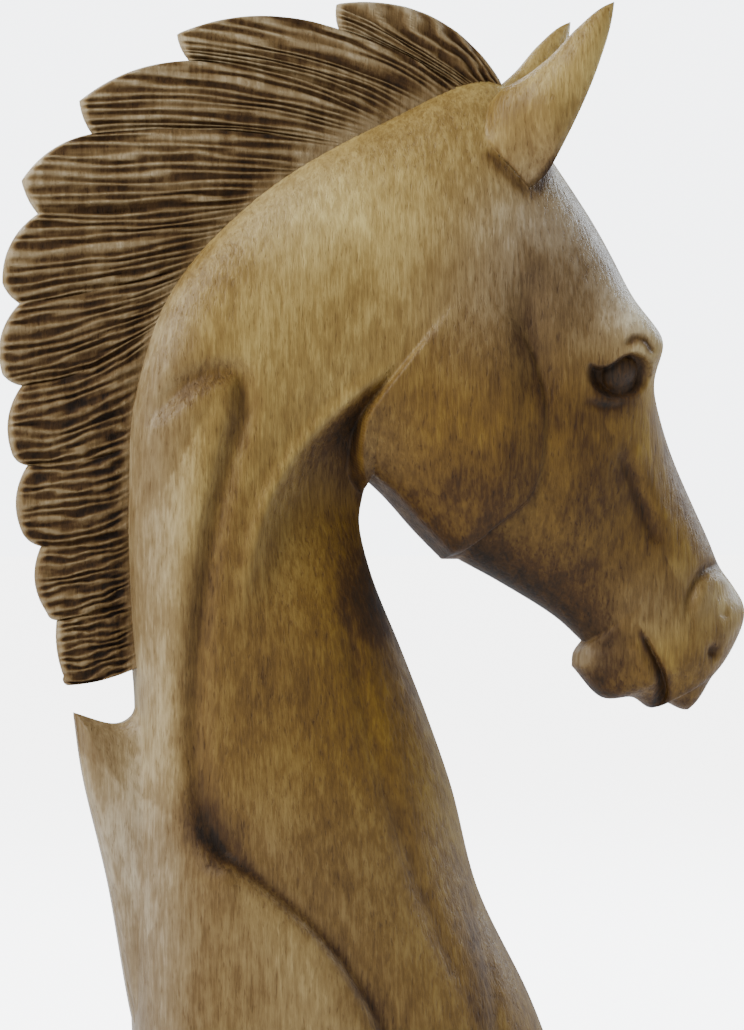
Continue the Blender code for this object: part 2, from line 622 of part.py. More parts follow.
def wood():
    """Stained and waxed light wood."""
    material = bpy.data.materials.new("carved_wood")
    material.use_nodes = True
    shader = material.node_tree.nodes["Principled BSDF"]
    shader.inputs["Base Color"].default_value = (0.26, 0.165, 0.07, 1.0)
    shader.inputs["Roughness"].default_value = 0.45
    shader.inputs["Metallic"].default_value = 0.0
    return material


def main():
    """Clear the scene and build the bust."""
    for thing in list(bpy.data.objects):
        bpy.data.objects.remove(thing)
    body = body_mesh()
    carve(body)
    bust = bpy.data.objects.new("horse_bust", decimated(body, BODY_TRIANGLES))
    bpy.context.collection.objects.link(bust)
    join_to(bust, withers_mesh())
    join_to(bust, mane_mesh())
    for side in (-1, 1):
        join_to(bust, ear_mesh(side))
    drop_shavings(bust.data)
    cut_flat_and_centre(bust.data)
    bust.data.materials.clear()
    bust.data.materials.append(wood())
    bust.data.shade_smooth()
    bust.data.set_sharp_from_angle(angle=SHARP_ANGLE)


main()
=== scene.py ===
# %% [markdown]
# A carved wooden horse head bust
#
# The real object is one block of light wood, carved by hand, stained dark in its cuts and waxed. This
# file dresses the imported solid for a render. The head looks along +X, the two sides mirror each other in
# the XZ plane, and every length below is a share: a thousandth of the bust's height. Shares turn into
# metres at the end of each piece.

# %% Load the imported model
import json
import math

import bmesh
import bpy
import numpy as np
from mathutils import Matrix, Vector

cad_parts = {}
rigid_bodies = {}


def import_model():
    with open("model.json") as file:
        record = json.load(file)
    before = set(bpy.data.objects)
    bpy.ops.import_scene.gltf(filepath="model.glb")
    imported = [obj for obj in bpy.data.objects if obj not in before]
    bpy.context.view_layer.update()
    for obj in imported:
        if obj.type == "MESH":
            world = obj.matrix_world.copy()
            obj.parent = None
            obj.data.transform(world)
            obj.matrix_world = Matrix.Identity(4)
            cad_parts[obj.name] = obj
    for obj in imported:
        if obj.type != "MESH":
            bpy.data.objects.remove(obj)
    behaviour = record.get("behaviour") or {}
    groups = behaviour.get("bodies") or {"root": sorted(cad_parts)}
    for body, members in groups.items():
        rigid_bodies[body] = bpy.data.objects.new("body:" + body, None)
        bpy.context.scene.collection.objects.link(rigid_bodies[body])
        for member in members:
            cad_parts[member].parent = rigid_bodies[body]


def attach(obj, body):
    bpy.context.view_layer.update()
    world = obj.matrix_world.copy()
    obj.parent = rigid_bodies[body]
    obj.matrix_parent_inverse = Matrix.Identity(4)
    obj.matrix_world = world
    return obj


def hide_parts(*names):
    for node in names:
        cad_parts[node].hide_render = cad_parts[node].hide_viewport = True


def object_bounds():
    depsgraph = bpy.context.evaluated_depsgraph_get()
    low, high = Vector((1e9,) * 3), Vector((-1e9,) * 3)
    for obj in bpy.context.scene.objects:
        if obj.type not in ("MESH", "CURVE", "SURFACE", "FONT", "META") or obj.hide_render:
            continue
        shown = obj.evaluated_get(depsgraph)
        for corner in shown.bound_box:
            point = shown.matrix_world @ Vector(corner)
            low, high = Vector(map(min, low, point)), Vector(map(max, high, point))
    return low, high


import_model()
cad_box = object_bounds()
print("CAD box:", [[round(value, 4) for value in corner] for corner in cad_box])

# %% [markdown]
# The solid's lowest and highest corners give the scale and the place. The carving's own table puts the
# front of the muzzle at a known share, so the solid's front face tells how far the part was moved to
# stand centred over its origin.

# %% Scale and place
HEIGHT = 0.600
SHARES_IN_HEIGHT = 1000.0
SHARE = HEIGHT / SHARES_IN_HEIGHT
MUZZLE_X = 345.0
shift_x = cad_box[1][0] / SHARE - MUZZLE_X
print("one share is", SHARE * 1000, "mm, and the part is moved by", round(shift_x, 2), "shares")

# %% [markdown]
# The camera comes first. The photograph was taken from about 12 degrees behind the pure side view, level
# with the middle of the neck. That angle explains why the far ear shows behind the near one and why the near
# brow stands out past the line of the nose.

# %% Camera at the photograph's viewing angle


def add_object(name, data):
    """Make an object from a mesh, lamp or camera and put it in the scene."""
    thing = bpy.data.objects.new(name, data)
    bpy.context.scene.collection.objects.link(thing)
    return thing


PHOTO_HEIGHT = 1030
PIXELS_PER_SHARE = 1.12
BEHIND = math.radians(12.0)
CAMERA_PIXELS_AWAY = 4100.0
PHOTO_MIDDLE_Y = 515.0
UNDERSIDE_PIXEL_Y = 1125.0
SENSOR = 24.0


def place_camera():
    """Make the camera and aim it level at the middle of the photographed frame."""
    camera = bpy.data.cameras.new("photo_camera")
    camera.sensor_fit = "VERTICAL"
    camera.sensor_height = SENSOR
    camera.lens = SENSOR * CAMERA_PIXELS_AWAY / PHOTO_HEIGHT
    holder = add_object("photo_camera", camera)
    aim_z = (UNDERSIDE_PIXEL_Y - PHOTO_MIDDLE_Y) / PIXELS_PER_SHARE
    aim = Vector((shift_x, 0.0, aim_z)) * SHARE
    away = Vector((-math.sin(BEHIND), -math.cos(BEHIND), 0.0))
    holder.location = aim + away * CAMERA_PIXELS_AWAY / PIXELS_PER_SHARE * SHARE
    holder.rotation_euler = (-away).to_track_quat("-Z", "Y").to_euler()
    bpy.context.scene.camera = holder
    return holder


photo_camera = place_camera()
print("camera at", [round(value, 3) for value in photo_camera.location])

# %% [markdown]
# Every carved form here is made of the same few moves: a smooth rise from one level to another, a hump
# beside a line, and the distance of a point from a line drawn in the side view. They work on whole arrays
# of points at once, which keeps a mesh of a hundred thousand points quick to carve.

# %% Rises, humps and smooth curves
LINE_STEPS = 6


def smooth_step(start, end, value):
    """Rise smoothly from 0 to 1 while value runs from start to end."""
    share = np.clip((value - start) / (end - start), 0.0, 1.0)
    return share * share * (3.0 - 2.0 * share)


def hump(value, width):
    """A bell-shaped hump, 1 high at 0 and nearly gone at twice the width."""
    return np.exp(-(value / width) ** 2)


def tangents(places, values, corners):
    """Slopes before and after each row of values, equal except at the corners."""
    steps = np.diff(places)[:, None]
    slopes = np.diff(values, axis=0) / steps
    middle = (slopes[:-1] * steps[1:] + slopes[1:] * steps[:-1]) / (steps[1:] + steps[:-1])
    before = np.vstack((slopes[:1], middle, slopes[-1:]))
    after = before.copy()
    for corner in corners:
        before[corner] = slopes[corner - 1]
        after[corner] = slopes[corner]
    return before, after


def curve_through(places, values, corners, wanted):
    """Read a smooth curve through the rows of values at the wanted places."""
    values = np.asarray(values, dtype=float)
    before, after = tangents(places, values, corners)
    index = np.clip(np.searchsorted(places, wanted, side="right") - 1, 0, len(places) - 2)
    span = (places[index + 1] - places[index])[:, None]
    share = (wanted[:, None] - places[index][:, None]) / span
    square, cube = share ** 2, share ** 3
    return ((2 * cube - 3 * square + 1) * values[index] + (cube - 2 * square + share) * span * after[index]
            + (3 * square - 2 * cube) * values[index + 1] + (cube - square) * span * before[index + 1])


def smooth_line(points, steps=LINE_STEPS):
    """Resample a line of side-view points as a smooth curve."""
    points = np.asarray(points, dtype=float)
    places = np.concatenate(([0.0], np.cumsum(np.linalg.norm(np.diff(points, axis=0), axis=1))))
    wanted = np.concatenate([np.linspace(a, b, steps, endpoint=False) for a, b in zip(places, places[1:])])
    return curve_through(places, points, (), np.append(wanted, places[-1]))


print("helpers ready")

# %% Distances from drawn lines


def beside_line(side_view, line):
    """For each point, its distance from a line, signed to be positive on the line's left, and its place."""
    curve = smooth_line(line)
    best = np.full(len(side_view), np.inf)
    sign = np.ones(len(side_view))
    place = np.zeros(len(side_view))
    for number, (start, end) in enumerate(zip(curve, curve[1:])):
        along = end - start
        offset = side_view - start
        share = np.clip(offset @ along / (along @ along), 0.0, 1.0)
        distance = np.linalg.norm(offset - share[:, None] * along, axis=1)
        closer = distance < best
        best[closer] = distance[closer]
        turn = along[0] * offset[:, 1] - along[1] * offset[:, 0]
        sign[closer] = np.where(turn[closer] >= 0.0, 1.0, -1.0)
        place[closer] = (number + share[closer]) / (len(curve) - 1)
    return best * sign, place


def inside_outline(side_view, outline):
    """For each point, its distance from a closed outline, positive inside."""
    curve = smooth_line(tuple(outline) + outline[:1])
    distance = np.abs(beside_line(side_view, tuple(outline) + outline[:1])[0])
    crossings = np.zeros(len(side_view), dtype=int)
    for start, end in zip(curve, curve[1:]):
        spans = (start[1] > side_view[:, 1]) != (end[1] > side_view[:, 1])
        rise = end[1] - start[1] if end[1] != start[1] else 1e-9
        meets = start[0] + (side_view[:, 1] - start[1]) / rise * (end[0] - start[0])
        crossings += spans & (side_view[:, 0] < meets)
    return np.where(crossings % 2 == 1, distance, -distance)


square_test = inside_outline(np.array([[0.0, 0.0], [9.0, 0.0]]), ((-5, -5), (5, -5), (5, 5), (-5, 5)))
print("inside is positive and outside negative:", square_test.round(1))

# %% [markdown]
# The neck and head are one bent form. A carver sees it as a row of cross sections, from the flat
# underside, up the neck, over the poll and down the face to the upper lip. Each section runs straight
# from the crest side (back of the neck, forehead, nose) to the throat side (breast, jaw, chin), and has
# its own half width and its own squareness, round at the neck and squarer at the forehead.

# %% Cross sections of neck and head
# Columns: crest x and z, throat x and z, half width, place of the widest point from crest to throat,
# squareness of the crest side and of the throat side, and 1 where the throat outline turns sharply.
STATIONS = (
    (-210, 0, 185, 0, 109, 0.50, 2.4, 2.2, 0),
    (-216, 112, 143, 112, 106, 0.50, 2.4, 2.2, 0),
    (-219, 212, 94, 213, 95, 0.50, 2.4, 2.2, 0),
    (-216, 305, 71, 303, 80, 0.48, 2.5, 2.1, 0),
    (-213, 376, 52, 358, 70, 0.46, 2.6, 2.1, 0),
    (-219, 452, 27, 422, 62, 0.45, 2.8, 2.1, 0),
    (-222, 558, -1, 491, 56, 0.45, 2.8, 2.0, 0),
    (-215, 655, -12, 536, 52, 0.45, 2.8, 2.0, 0),
    (-181, 748, -9, 562, 51, 0.48, 2.7, 2.0, 0),
    (-103, 830, -6, 572, 52, 0.50, 2.6, 2.1, 0),
    (7, 896, -5, 576, 54, 0.50, 2.4, 2.4, 1),
    (113, 934, 15, 557, 60, 0.52, 2.3, 2.4, 0),
    (162, 865, 39, 530, 66, 0.50, 2.6, 2.2, 0),
    (208, 791, 64, 505, 70, 0.45, 3.2, 2.1, 1),
    (224, 757, 79, 505, 71, 0.42, 3.6, 2.1, 1),
    (246, 681, 120, 483, 66, 0.38, 3.4, 2.1, 0),
    (274, 600, 169, 453, 49, 0.40, 2.5, 2.2, 0),
    (311, 521, 195, 430, 42, 0.45, 2.3, 2.2, 1),
    (322, 497, 186, 419, 41, 0.45, 2.2, 2.2, 0),
    (334, 481, 185, 408, 41, 0.45, 2.2, 2.2, 1),
    (345, 456, 212, 380, 40, 0.48, 2.2, 2.2, 0),
    (334, 426, 243, 379, 35, 0.50, 2.2, 2.2, 0),
    (325, 412, 258, 370, 30, 0.50, 2.2, 2.2, 0),
    (315, 400, 271, 376, 25, 0.50, 2.2, 2.2, 1),
    (299, 376, 289, 368, 12, 0.50, 2.1, 2.1, 0),
    (293, 369, 292, 368, 4, 0.50, 2.0, 2.0, 0),
)
BELOW_CUT = 15.0
CARVED_WHERE = (0.10, 0.45)
# How far a point faces sideways where the carving starts to follow its normal, and where it follows it fully
LEANS_WHERE = (0.40, 0.90)
RING_SPACING = 3.6
SIDE_STEPS = 78


def ring_rows():
    """The stations, with rings added between them at an even spacing, and one below the cut."""
    rows = np.asarray(STATIONS, dtype=float)
    steps = 0.5 * (np.hypot(*np.diff(rows[:, 0:2], axis=0).T) + np.hypot(*np.diff(rows[:, 2:4], axis=0).T))
    places = np.concatenate(([0.0], np.cumsum(steps)))
    counts = np.maximum(1, np.round(steps / RING_SPACING)).astype(int)
    spans = zip(places, places[1:], counts)
    wanted = [np.linspace(a, b, count, endpoint=False) for a, b, count in spans]
    wanted = np.concatenate(wanted + [places[-1:]])
    crest = curve_through(places, rows[:, 0:2], (), wanted)
    throat = curve_through(places, rows[:, 2:4], np.flatnonzero(rows[:, 8]), wanted)
    shape = curve_through(places, rows[:, 4:8], (), wanted)
    below = np.concatenate((crest[0], throat[0], shape[0]))
    below[[1, 3]] -= BELOW_CUT
    return np.vstack((below, np.hstack((crest, throat, shape))))


def half_section(length, half_width, widest, crest_power, throat_power):
    """One side of a cross section: distance from the crest point and half width, evenly spaced."""
    angle = np.linspace(0.0, math.pi, 4 * SIDE_STEPS + 1)
    crest_side = angle <= math.pi / 2
    power = np.where(crest_side, crest_power, throat_power)
    run = np.abs(np.cos(angle)) ** (2.0 / power)
    rise = np.clip(np.sin(angle), 0.0, 1.0) ** (2.0 / power)
    share = np.where(crest_side, widest * (1.0 - run), widest + (1.0 - widest) * run)
    along, across = share * length, rise * half_width
    walk = np.concatenate(([0.0], np.cumsum(np.hypot(np.diff(along), np.diff(across)))))
    even = np.linspace(0.0, walk[-1], SIDE_STEPS + 1)
    return np.interp(even, walk, along), np.interp(even, walk, across)


print(len(ring_rows()), "rings of", 2 * SIDE_STEPS, "points")

# %% [markdown]
# Rings of points become a mesh by joining each ring to the next with four-sided faces and closing both
# ends. The same helper serves the body, the ears and the plates of the mane and withers.

# %% Rings to a closed mesh


def mesh_from(name, points, faces):
    """Make a mesh from points and faces, with its faces turned outward."""
    mesh = bpy.data.meshes.new(name)
    mesh.from_pydata([tuple(point) for point in points], [], faces)
    tidy = bmesh.new()
    tidy.from_mesh(mesh)
    bmesh.ops.recalc_face_normals(tidy, faces=tidy.faces)
    tidy.to_mesh(mesh)
    tidy.free()
    mesh.update()
    return mesh


def ring_faces(rings, around):
    """Quads between closed rings of points that follow each other, with both ends closed."""
    faces = []
    for ring in range(rings - 1):
        for step in range(around):
            following = (step + 1) % around
            faces.append((ring * around + step, ring * around + following,
                          (ring + 1) * around + following, (ring + 1) * around + step))
    faces.append(tuple(range(around)))
    faces.append(tuple(range((rings - 1) * around, rings * around)))
    return faces


def body_mesh():
    """Neck and head, before carving: rings of the cross sections, bridged."""
    rows = ring_rows()
    points = []
    for crest_x, crest_z, throat_x, throat_z, *shape in rows:
        length = math.hypot(throat_x - crest_x, throat_z - crest_z)
        along, across = half_section(length, *shape)
        x = crest_x + (throat_x - crest_x) * along / length
        z = crest_z + (throat_z - crest_z) * along / length
        near = np.column_stack((x, -across, z))
        near[[0, -1], 1] = 0.0
        far = near[-2:0:-1] * (1.0, -1.0, 1.0)
        points.append(np.vstack((near, far)))
    return mesh_from("body", np.vstack(points), ring_faces(len(rows), 2 * SIDE_STEPS))


body = body_mesh()
print("uncarved body:", len(body.vertices), "points")

# %% [markdown]
# The chisel work on each side is drawn as lines and outlines in the side view: the cheek's outline, the
# ridge in front of the hollow behind it, the long groove of the neck, the shoulder's crease, and the
# lines of the face. Relief is then a sum of humps and steps measured from those lines.

# %% Lines of the carving
JOWL_OUTLINE = ((72, 746), (48, 715), (19, 680), (-3, 652), (-15, 634), (-20, 618), (-21, 600), (-18, 578),
                (6, 543), (33, 516), (50, 504), (66, 506), (84, 521), (108, 540), (129, 558), (140, 590),
                (142, 622), (138, 665), (111, 720))
JOWL_HEIGHT = 10.0
JOWL_EDGE = (-1.0, 2.5)
JOWL_FADE_Z = (640, 750)
JOWL_FADE_X = (100, 150)
JOWL_FADE_SHARE = 0.85
HOLLOW_RIDGE = ((-2, 668), (-35, 639), (-59, 617), (-83, 588), (-101, 558), (-113, 523), (-122, 488),
                (-132, 427))
HOLLOW_DEPTH = 14.0
HOLLOW_SLOPE = (-2, 30)
HOLLOW_FLAT = (40, 100)
HOLLOW_FLAT_SHARE = 0.5
HOLLOW_FADE_LOW_Z = (425, 560)
HOLLOW_FADE_HIGH_Z = (652, 680)
HOLLOW_FADE_X = (20, 50)
RIDGE_SHARE, RIDGE_AT, RIDGE_WIDTH = 0.25, 4, 6
SHOULDER_CREASE = ((-168, 267), (-150, 254), (-129, 237), (-102, 215), (-76, 192), (-54, 168), (-33, 137),
                   (-14, 102), (4, 58), (20, 0))
SHOULDER_HEIGHT = 7.0
SHOULDER_EDGE = (4, -8)
SHOULDER_AT, SHOULDER_WIDTH = 26, 44
SHOULDER_FADE = 0.25
NECK_GROOVE = ((-216, 615), (-196, 640), (-178, 658), (-154, 669), (-129, 668), (-124, 640), (-133, 608),
               (-149, 549), (-161, 479), (-169, 383), (-170, 331), (-165, 290), (-150, 252))
CHEST_CREASE = ((80, 212), (86, 178), (93, 142), (97, 89), (100, -10))
JUGULAR = ((-36, 470), (-22, 391), (2, 294), (36, 192), (77, 107))
TEMPLE = ((134, 770), (126, 726), (133, 682), (145, 637))
FACE_LINE = ((210, 604), (222, 585), (235, 558), (247, 531), (255, 516))
LID_FOLD = ((211, 692), (217, 698), (225, 702), (232, 700), (237, 694), (240, 686))
EYE_BAG = ((176, 647), (192, 641), (208, 641), (224, 649))
NOSTRIL_WING = ((313, 499), (301, 495), (291, 486), (285, 474), (282, 460), (282, 446))
CHIN_GROOVE = ((188, 433), (204, 424), (221, 427))

# Columns: the line, how deep and how wide its groove is, over what share of the line it fades in and out,
# then the height, the distance to the line's left and the width of the bank beside it.
NECK_GROOVES = (
    (NECK_GROOVE, 6.0, 9, 0.12, 0.0, 3.5, -22, 16),
    (SHOULDER_CREASE, 4.5, 6, 0.15, 0.0, -2.0, 16, 13),
    (CHEST_CREASE, 3.0, 7, 0.15, 0.0, 0.0, 0, 1),
    (JUGULAR, 2.0, 8, 0.15, 0.15, 0.0, 0, 1),
)
HEAD_GROOVES = (
    (TEMPLE, 4.5, 17, 0.25, 0.25, 0.0, 0, 1),
    (FACE_LINE, 3.0, 7, 0.20, 0.20, 1.5, 14, 9),
    (LID_FOLD, 3.0, 3.0, 0.25, 0.20, 0.0, 0, 1),
    (EYE_BAG, 1.2, 3.5, 0.25, 0.40, 1.2, 7, 5),
    (NOSTRIL_WING, 3.5, 4.5, 0.0, 0.40, 2.5, 12, 9),
    (CHIN_GROOVE, 3.0, 6, 0.20, 0.20, 0.0, 0, 1),
)
# Columns: x and z of the pit, its depth and its width
NOSTRIL_PITS = ((307, 421, 5.0, 6), (318, 456, 2.0, 5))
MOUTH = ((241, 438), (248, 425), (255, 412), (262, 397), (265, 386), (264, 370))
MOUTH_DEPTH = (4.0, 9.0)
MOUTH_WIDTH = (2.0, 9.0)
MOUTH_LIP_STEP = 2.0
MOUTH_FADE = 0.12
LOWER_LIP_HEIGHT, LOWER_LIP_AT, LOWER_LIP_WIDTH = 2.0, 13, 5
BROW = (230, 699)
BROW_SPREAD = 31.0
BROW_HEIGHT = 7.0
BROW_FORWARD = 20.0
BROW_OUTWARD = 4.0
BROW_INNER_Y = (14, 50)
UPPER_LID = ((170, 683), (182, 679), (192, 675), (200, 677), (208, 683), (216, 687), (225, 688), (232, 685),
             (238, 677), (241, 666))
LID_STEP = (1.2, -2.2)
SOCKET = (210, 671)
SOCKET_HALF_LENGTH = 32.0
SOCKET_HALF_HEIGHT = 26.0
SOCKET_FADE = (0.55, 1.0)
SOCKET_DEPTH = 12.0
EYEBALL = (214, 669)
EYEBALL_RADIUS = 17.0
EYEBALL_HEIGHT = 9.0
print("grooves drawn:", len(NECK_GROOVES) + len(HEAD_GROOVES))

# %% Relief of the neck and chest


def grooves(side_view, rows):
    """The height of a set of grooves and of the banks beside them, for each point of the side view."""
    height = np.zeros(len(side_view))
    for line, depth, width, fade_in, fade_out, bank, bank_at, bank_width in rows:
        distance, place = beside_line(side_view, line)
        fade = np.ones(len(side_view))
        if fade_in > 0.0:
            fade = fade * smooth_step(0.0, fade_in, place)
        if fade_out > 0.0:
            fade = fade * smooth_step(0.0, fade_out, 1.0 - place)
        height = height + fade * (bank * hump(distance - bank_at, bank_width) - depth * hump(distance, width))
    return height


def neck_relief(side_view):
    """Carving of the neck and chest, as a height for each point of the side view."""
    x, z = side_view.T
    ridge, _ = beside_line(side_view, HOLLOW_RIDGE)
    depth = HOLLOW_DEPTH * smooth_step(*HOLLOW_FADE_LOW_Z, z) * (1.0 - smooth_step(*HOLLOW_FADE_HIGH_Z, z))
    depth = depth * (1.0 - smooth_step(*HOLLOW_FADE_X, x))
    depth = depth * (1.0 - smooth_step(*JOWL_EDGE, inside_outline(side_view, JOWL_OUTLINE)))
    flatter = 1.0 - HOLLOW_FLAT_SHARE * smooth_step(*HOLLOW_FLAT, ridge)
    height = -depth * smooth_step(*HOLLOW_SLOPE, ridge) * flatter
    height = height + RIDGE_SHARE * depth * hump(ridge + RIDGE_AT, RIDGE_WIDTH)
    crease, place = beside_line(side_view, SHOULDER_CREASE)
    raised = smooth_step(*SHOULDER_EDGE, crease) * hump(crease + SHOULDER_AT, SHOULDER_WIDTH)
    height = height + SHOULDER_HEIGHT * raised * smooth_step(0.0, SHOULDER_FADE, place)
    return height + grooves(side_view, NECK_GROOVES)


# %% Relief of the head


def head_relief(side_view):
    """Carving of the cheek, temple, nose and mouth, as a height for each point of the side view."""
    x, z = side_view.T
    jowl = inside_outline(side_view, JOWL_OUTLINE)
    fade = (1.0 - smooth_step(*JOWL_FADE_Z, z)) * (1.0 - JOWL_FADE_SHARE * smooth_step(*JOWL_FADE_X, x))
    height = JOWL_HEIGHT * fade * smooth_step(*JOWL_EDGE, jowl)
    for pit_x, pit_z, depth, width in NOSTRIL_PITS:
        height = height - depth * hump(np.hypot(x - pit_x, z - pit_z), width)
    return height + grooves(side_view, HEAD_GROOVES) + mouth_relief(side_view) + eye_relief(side_view)


def mouth_relief(side_view):
    """The cut between the lips: a wedge, narrow at its corner, steep on the side of the upper lip."""
    lips, place = beside_line(side_view, MOUTH)
    width = MOUTH_WIDTH[0] + (MOUTH_WIDTH[1] - MOUTH_WIDTH[0]) * place
    depth = MOUTH_DEPTH[0] + (MOUTH_DEPTH[1] - MOUTH_DEPTH[0]) * place
    cut = np.where(lips > 0.0, smooth_step(0.0, 1.0, 1.0 - lips / MOUTH_LIP_STEP), hump(lips, width))
    lower_lip = LOWER_LIP_HEIGHT * hump(lips + LOWER_LIP_AT, LOWER_LIP_WIDTH)
    return (lower_lip - depth * cut) * smooth_step(0.0, MOUTH_FADE, place)


def brow_distance(side_view):
    """Distance in the side view from the middle of the brow."""
    return np.hypot(side_view[:, 0] - BROW[0], side_view[:, 1] - BROW[1])


def socket_reach(side_view):
    """How far each point is from the middle of the eye's socket, where 1 is the socket's edge."""
    along = (side_view[:, 0] - SOCKET[0]) / SOCKET_HALF_LENGTH
    across = (side_view[:, 1] - SOCKET[1]) / SOCKET_HALF_HEIGHT
    return np.hypot(along, across)


def under_lid(side_view):
    """1 inside the socket, under the crisp edge of the upper lid, fading towards the cheek."""
    lid, _ = beside_line(side_view, UPPER_LID)
    return smooth_step(*LID_STEP, lid) * (1.0 - smooth_step(*SOCKET_FADE, socket_reach(side_view)))


def eyeball(side_view):
    """The eyeball's roundness, 1 at its middle and 0 from its edge on."""
    away = np.hypot(side_view[:, 0] - EYEBALL[0], side_view[:, 1] - EYEBALL[1]) / EYEBALL_RADIUS
    return np.sqrt(np.clip(1.0 - away ** 2, 0.0, 1.0))


def eye_relief(side_view):
    """The brow's swell, and under the edge of the upper lid the socket with the eyeball in it."""
    swell = BROW_HEIGHT * hump(brow_distance(side_view), BROW_SPREAD)
    return swell - under_lid(side_view) * (SOCKET_DEPTH - EYEBALL_HEIGHT * eyeball(side_view))


print("relief ready")

# %% [markdown]
# The body's rings are about 2 mm apart. That is enough for the neck, and too coarse for an eyelid or a
# lip. So the quads beside the eye, on the muzzle and along the cheek's edge are split once before
# carving, and those in and beside the lids twice.

# %% Split the grid where the carving is small
EYE_REFINE_REACH = 2.0
EYE_SECOND_REACH = 1.35
MUZZLE_REFINE_X = 225.0
MUZZLE_REFINE_Z = 520.0
JOWL_REFINE_BAND = 6.0
JOWL_REFINE_TOP = 700.0
REFINE_FROM_Y = 12.0


def split_where(mesh, wanted):
    """Split the edges of every face whose middle is wanted, once."""
    work = bmesh.new()
    work.from_mesh(mesh)
    faces = [face for face in work.faces if len(face.verts) < 5]
    middles = np.array([face.calc_center_median()[:] for face in faces])
    chosen = wanted(middles)
    edges = {edge for face, inside in zip(faces, chosen) if inside for edge in face.edges}
    bmesh.ops.subdivide_edges(work, edges=list(edges), cuts=1, use_grid_fill=True)
    work.to_mesh(mesh)
    work.free()
    mesh.update()


def near_small_carving(middles):
    """True beside the eye, the muzzle's cuts and the cheek's edge."""
    side_view = middles[:, [0, 2]]
    sideways = np.abs(middles[:, 1]) > REFINE_FROM_Y
    eye = socket_reach(side_view) < EYE_REFINE_REACH
    muzzle = (middles[:, 0] > MUZZLE_REFINE_X) & (middles[:, 2] < MUZZLE_REFINE_Z)
    jowl_edge = np.abs(inside_outline(side_view, JOWL_OUTLINE)) < JOWL_REFINE_BAND
    return sideways & (eye | muzzle | jowl_edge & (middles[:, 2] < JOWL_REFINE_TOP))


def near_eye(middles):
    """True in and beside the lids."""
    return (np.abs(middles[:, 1]) > REFINE_FROM_Y) & (socket_reach(middles[:, [0, 2]]) < EYE_SECOND_REACH)


split_where(body, near_small_carving)
split_where(body, near_eye)
print("refined body:", len(body.vertices), "points")

# %% [markdown]
# The brow is pushed forward and outward first, because it overhangs the eye. Carving then moves each
# point square to the surface by the relief's height, where the surface faces sideways. Where it faces
# less to the side, the point moves straight across the head only, so that a rim doesn't fold over itself.

# %% Carve the body


def mesh_arrays(mesh):
    """Points and normals of a mesh as arrays."""
    points = np.empty(len(mesh.vertices) * 3)
    normals = np.empty(len(mesh.vertices) * 3)
    mesh.vertices.foreach_get("co", points)
    mesh.vertices.foreach_get("normal", normals)
    return points.reshape(-1, 3), normals.reshape(-1, 3)


def push_brow(mesh):
    """Push the brow forward and outward, most at the side of the head."""
    points, _ = mesh_arrays(mesh)
    brow = hump(brow_distance(points[:, [0, 2]]), BROW_SPREAD)
    brow = brow * smooth_step(*BROW_INNER_Y, np.abs(points[:, 1]))
    points[:, 0] += BROW_FORWARD * brow
    points[:, 1] += BROW_OUTWARD * brow * np.sign(points[:, 1])
    mesh.vertices.foreach_set("co", points.ravel())
    mesh.update()


def carve(mesh):
    """Raise and lower the surface by the relief where it faces sideways."""
    points, normals = mesh_arrays(mesh)
    side_view = points[:, [0, 2]]
    sideways = smooth_step(*CARVED_WHERE, np.abs(normals[:, 1]))
    height = (neck_relief(side_view) + head_relief(side_view)) * sideways
    lean = smooth_step(*LEANS_WHERE, np.abs(normals[:, 1]))
    turned = normals * np.column_stack((lean, np.ones(len(points)), lean))
    mesh.vertices.foreach_set("co", (points + turned * height[:, None]).ravel())
    mesh.update()


push_brow(body)
carve(body)
print("carved body spans", np.ptp(mesh_arrays(body)[0], axis=0).round(1), "shares")

# %% [markdown]
# The ears are cupped leaves, open to the front, thick where they grow out of the poll and thin at the
# tip. The withers stand out behind the neck as a fin. Both are made as closed forms of their own and
# fused with the body.

# %% Ears
EAR_ROWS = (
    (90, 880, 134, 832, 34),
    (108, 922, 149, 847, 41),
    (123, 931, 154, 860, 52),
    (146, 949, 172, 899, 63),
    (171, 976, 189, 943, 71),
    (196, 996, 201, 985, 75),
    (203, 999, 203, 997, 76),
)
EAR_DEPTH = 0.34
EAR_WALL = 6.0
EAR_WALL_SHARE = 0.3
EAR_WALL_ACROSS = 0.7
EAR_LONG_RADIUS = 0.62
EAR_OPENING = math.radians(58)
EAR_RINGS = 44
EAR_STEPS = 27


def ear_mesh(side):
    """One ear, as a cupped leaf open to the front: -1 is the near side and 1 the far side."""
    rows = np.asarray(EAR_ROWS, dtype=float)
    places = np.concatenate(([0.0], np.cumsum(np.hypot(*np.diff(rows[:, 0:2], axis=0).T))))
    rows = curve_through(places, rows, (), np.linspace(0.0, places[-1], EAR_RINGS))
    outer = np.linspace(EAR_OPENING, 2.0 * math.pi - EAR_OPENING, EAR_STEPS)
    inner = outer[::-1]
    points = []
    for back_x, back_z, front_x, front_z, away in rows:
        width = math.hypot(front_x - back_x, front_z - back_z)
        wall = min(EAR_WALL, EAR_WALL_SHARE * width)
        long_radius, deep_radius = EAR_LONG_RADIUS * width, EAR_DEPTH * width
        along = np.concatenate((long_radius * (1.0 + np.cos(outer)),
                                long_radius + (long_radius - wall) * np.cos(inner)))
        across = np.concatenate((deep_radius * np.sin(outer),
                                 (deep_radius - EAR_WALL_ACROSS * wall) * np.sin(inner)))
        x = back_x + (front_x - back_x) * along / width
        z = back_z + (front_z - back_z) * along / width
        points.append(np.column_stack((x, side * (away + across), z)))
    return mesh_from("ear", np.vstack(points), ring_faces(len(rows), 2 * len(outer)))


print("an ear has", EAR_RINGS * EAR_STEPS * 2, "points")

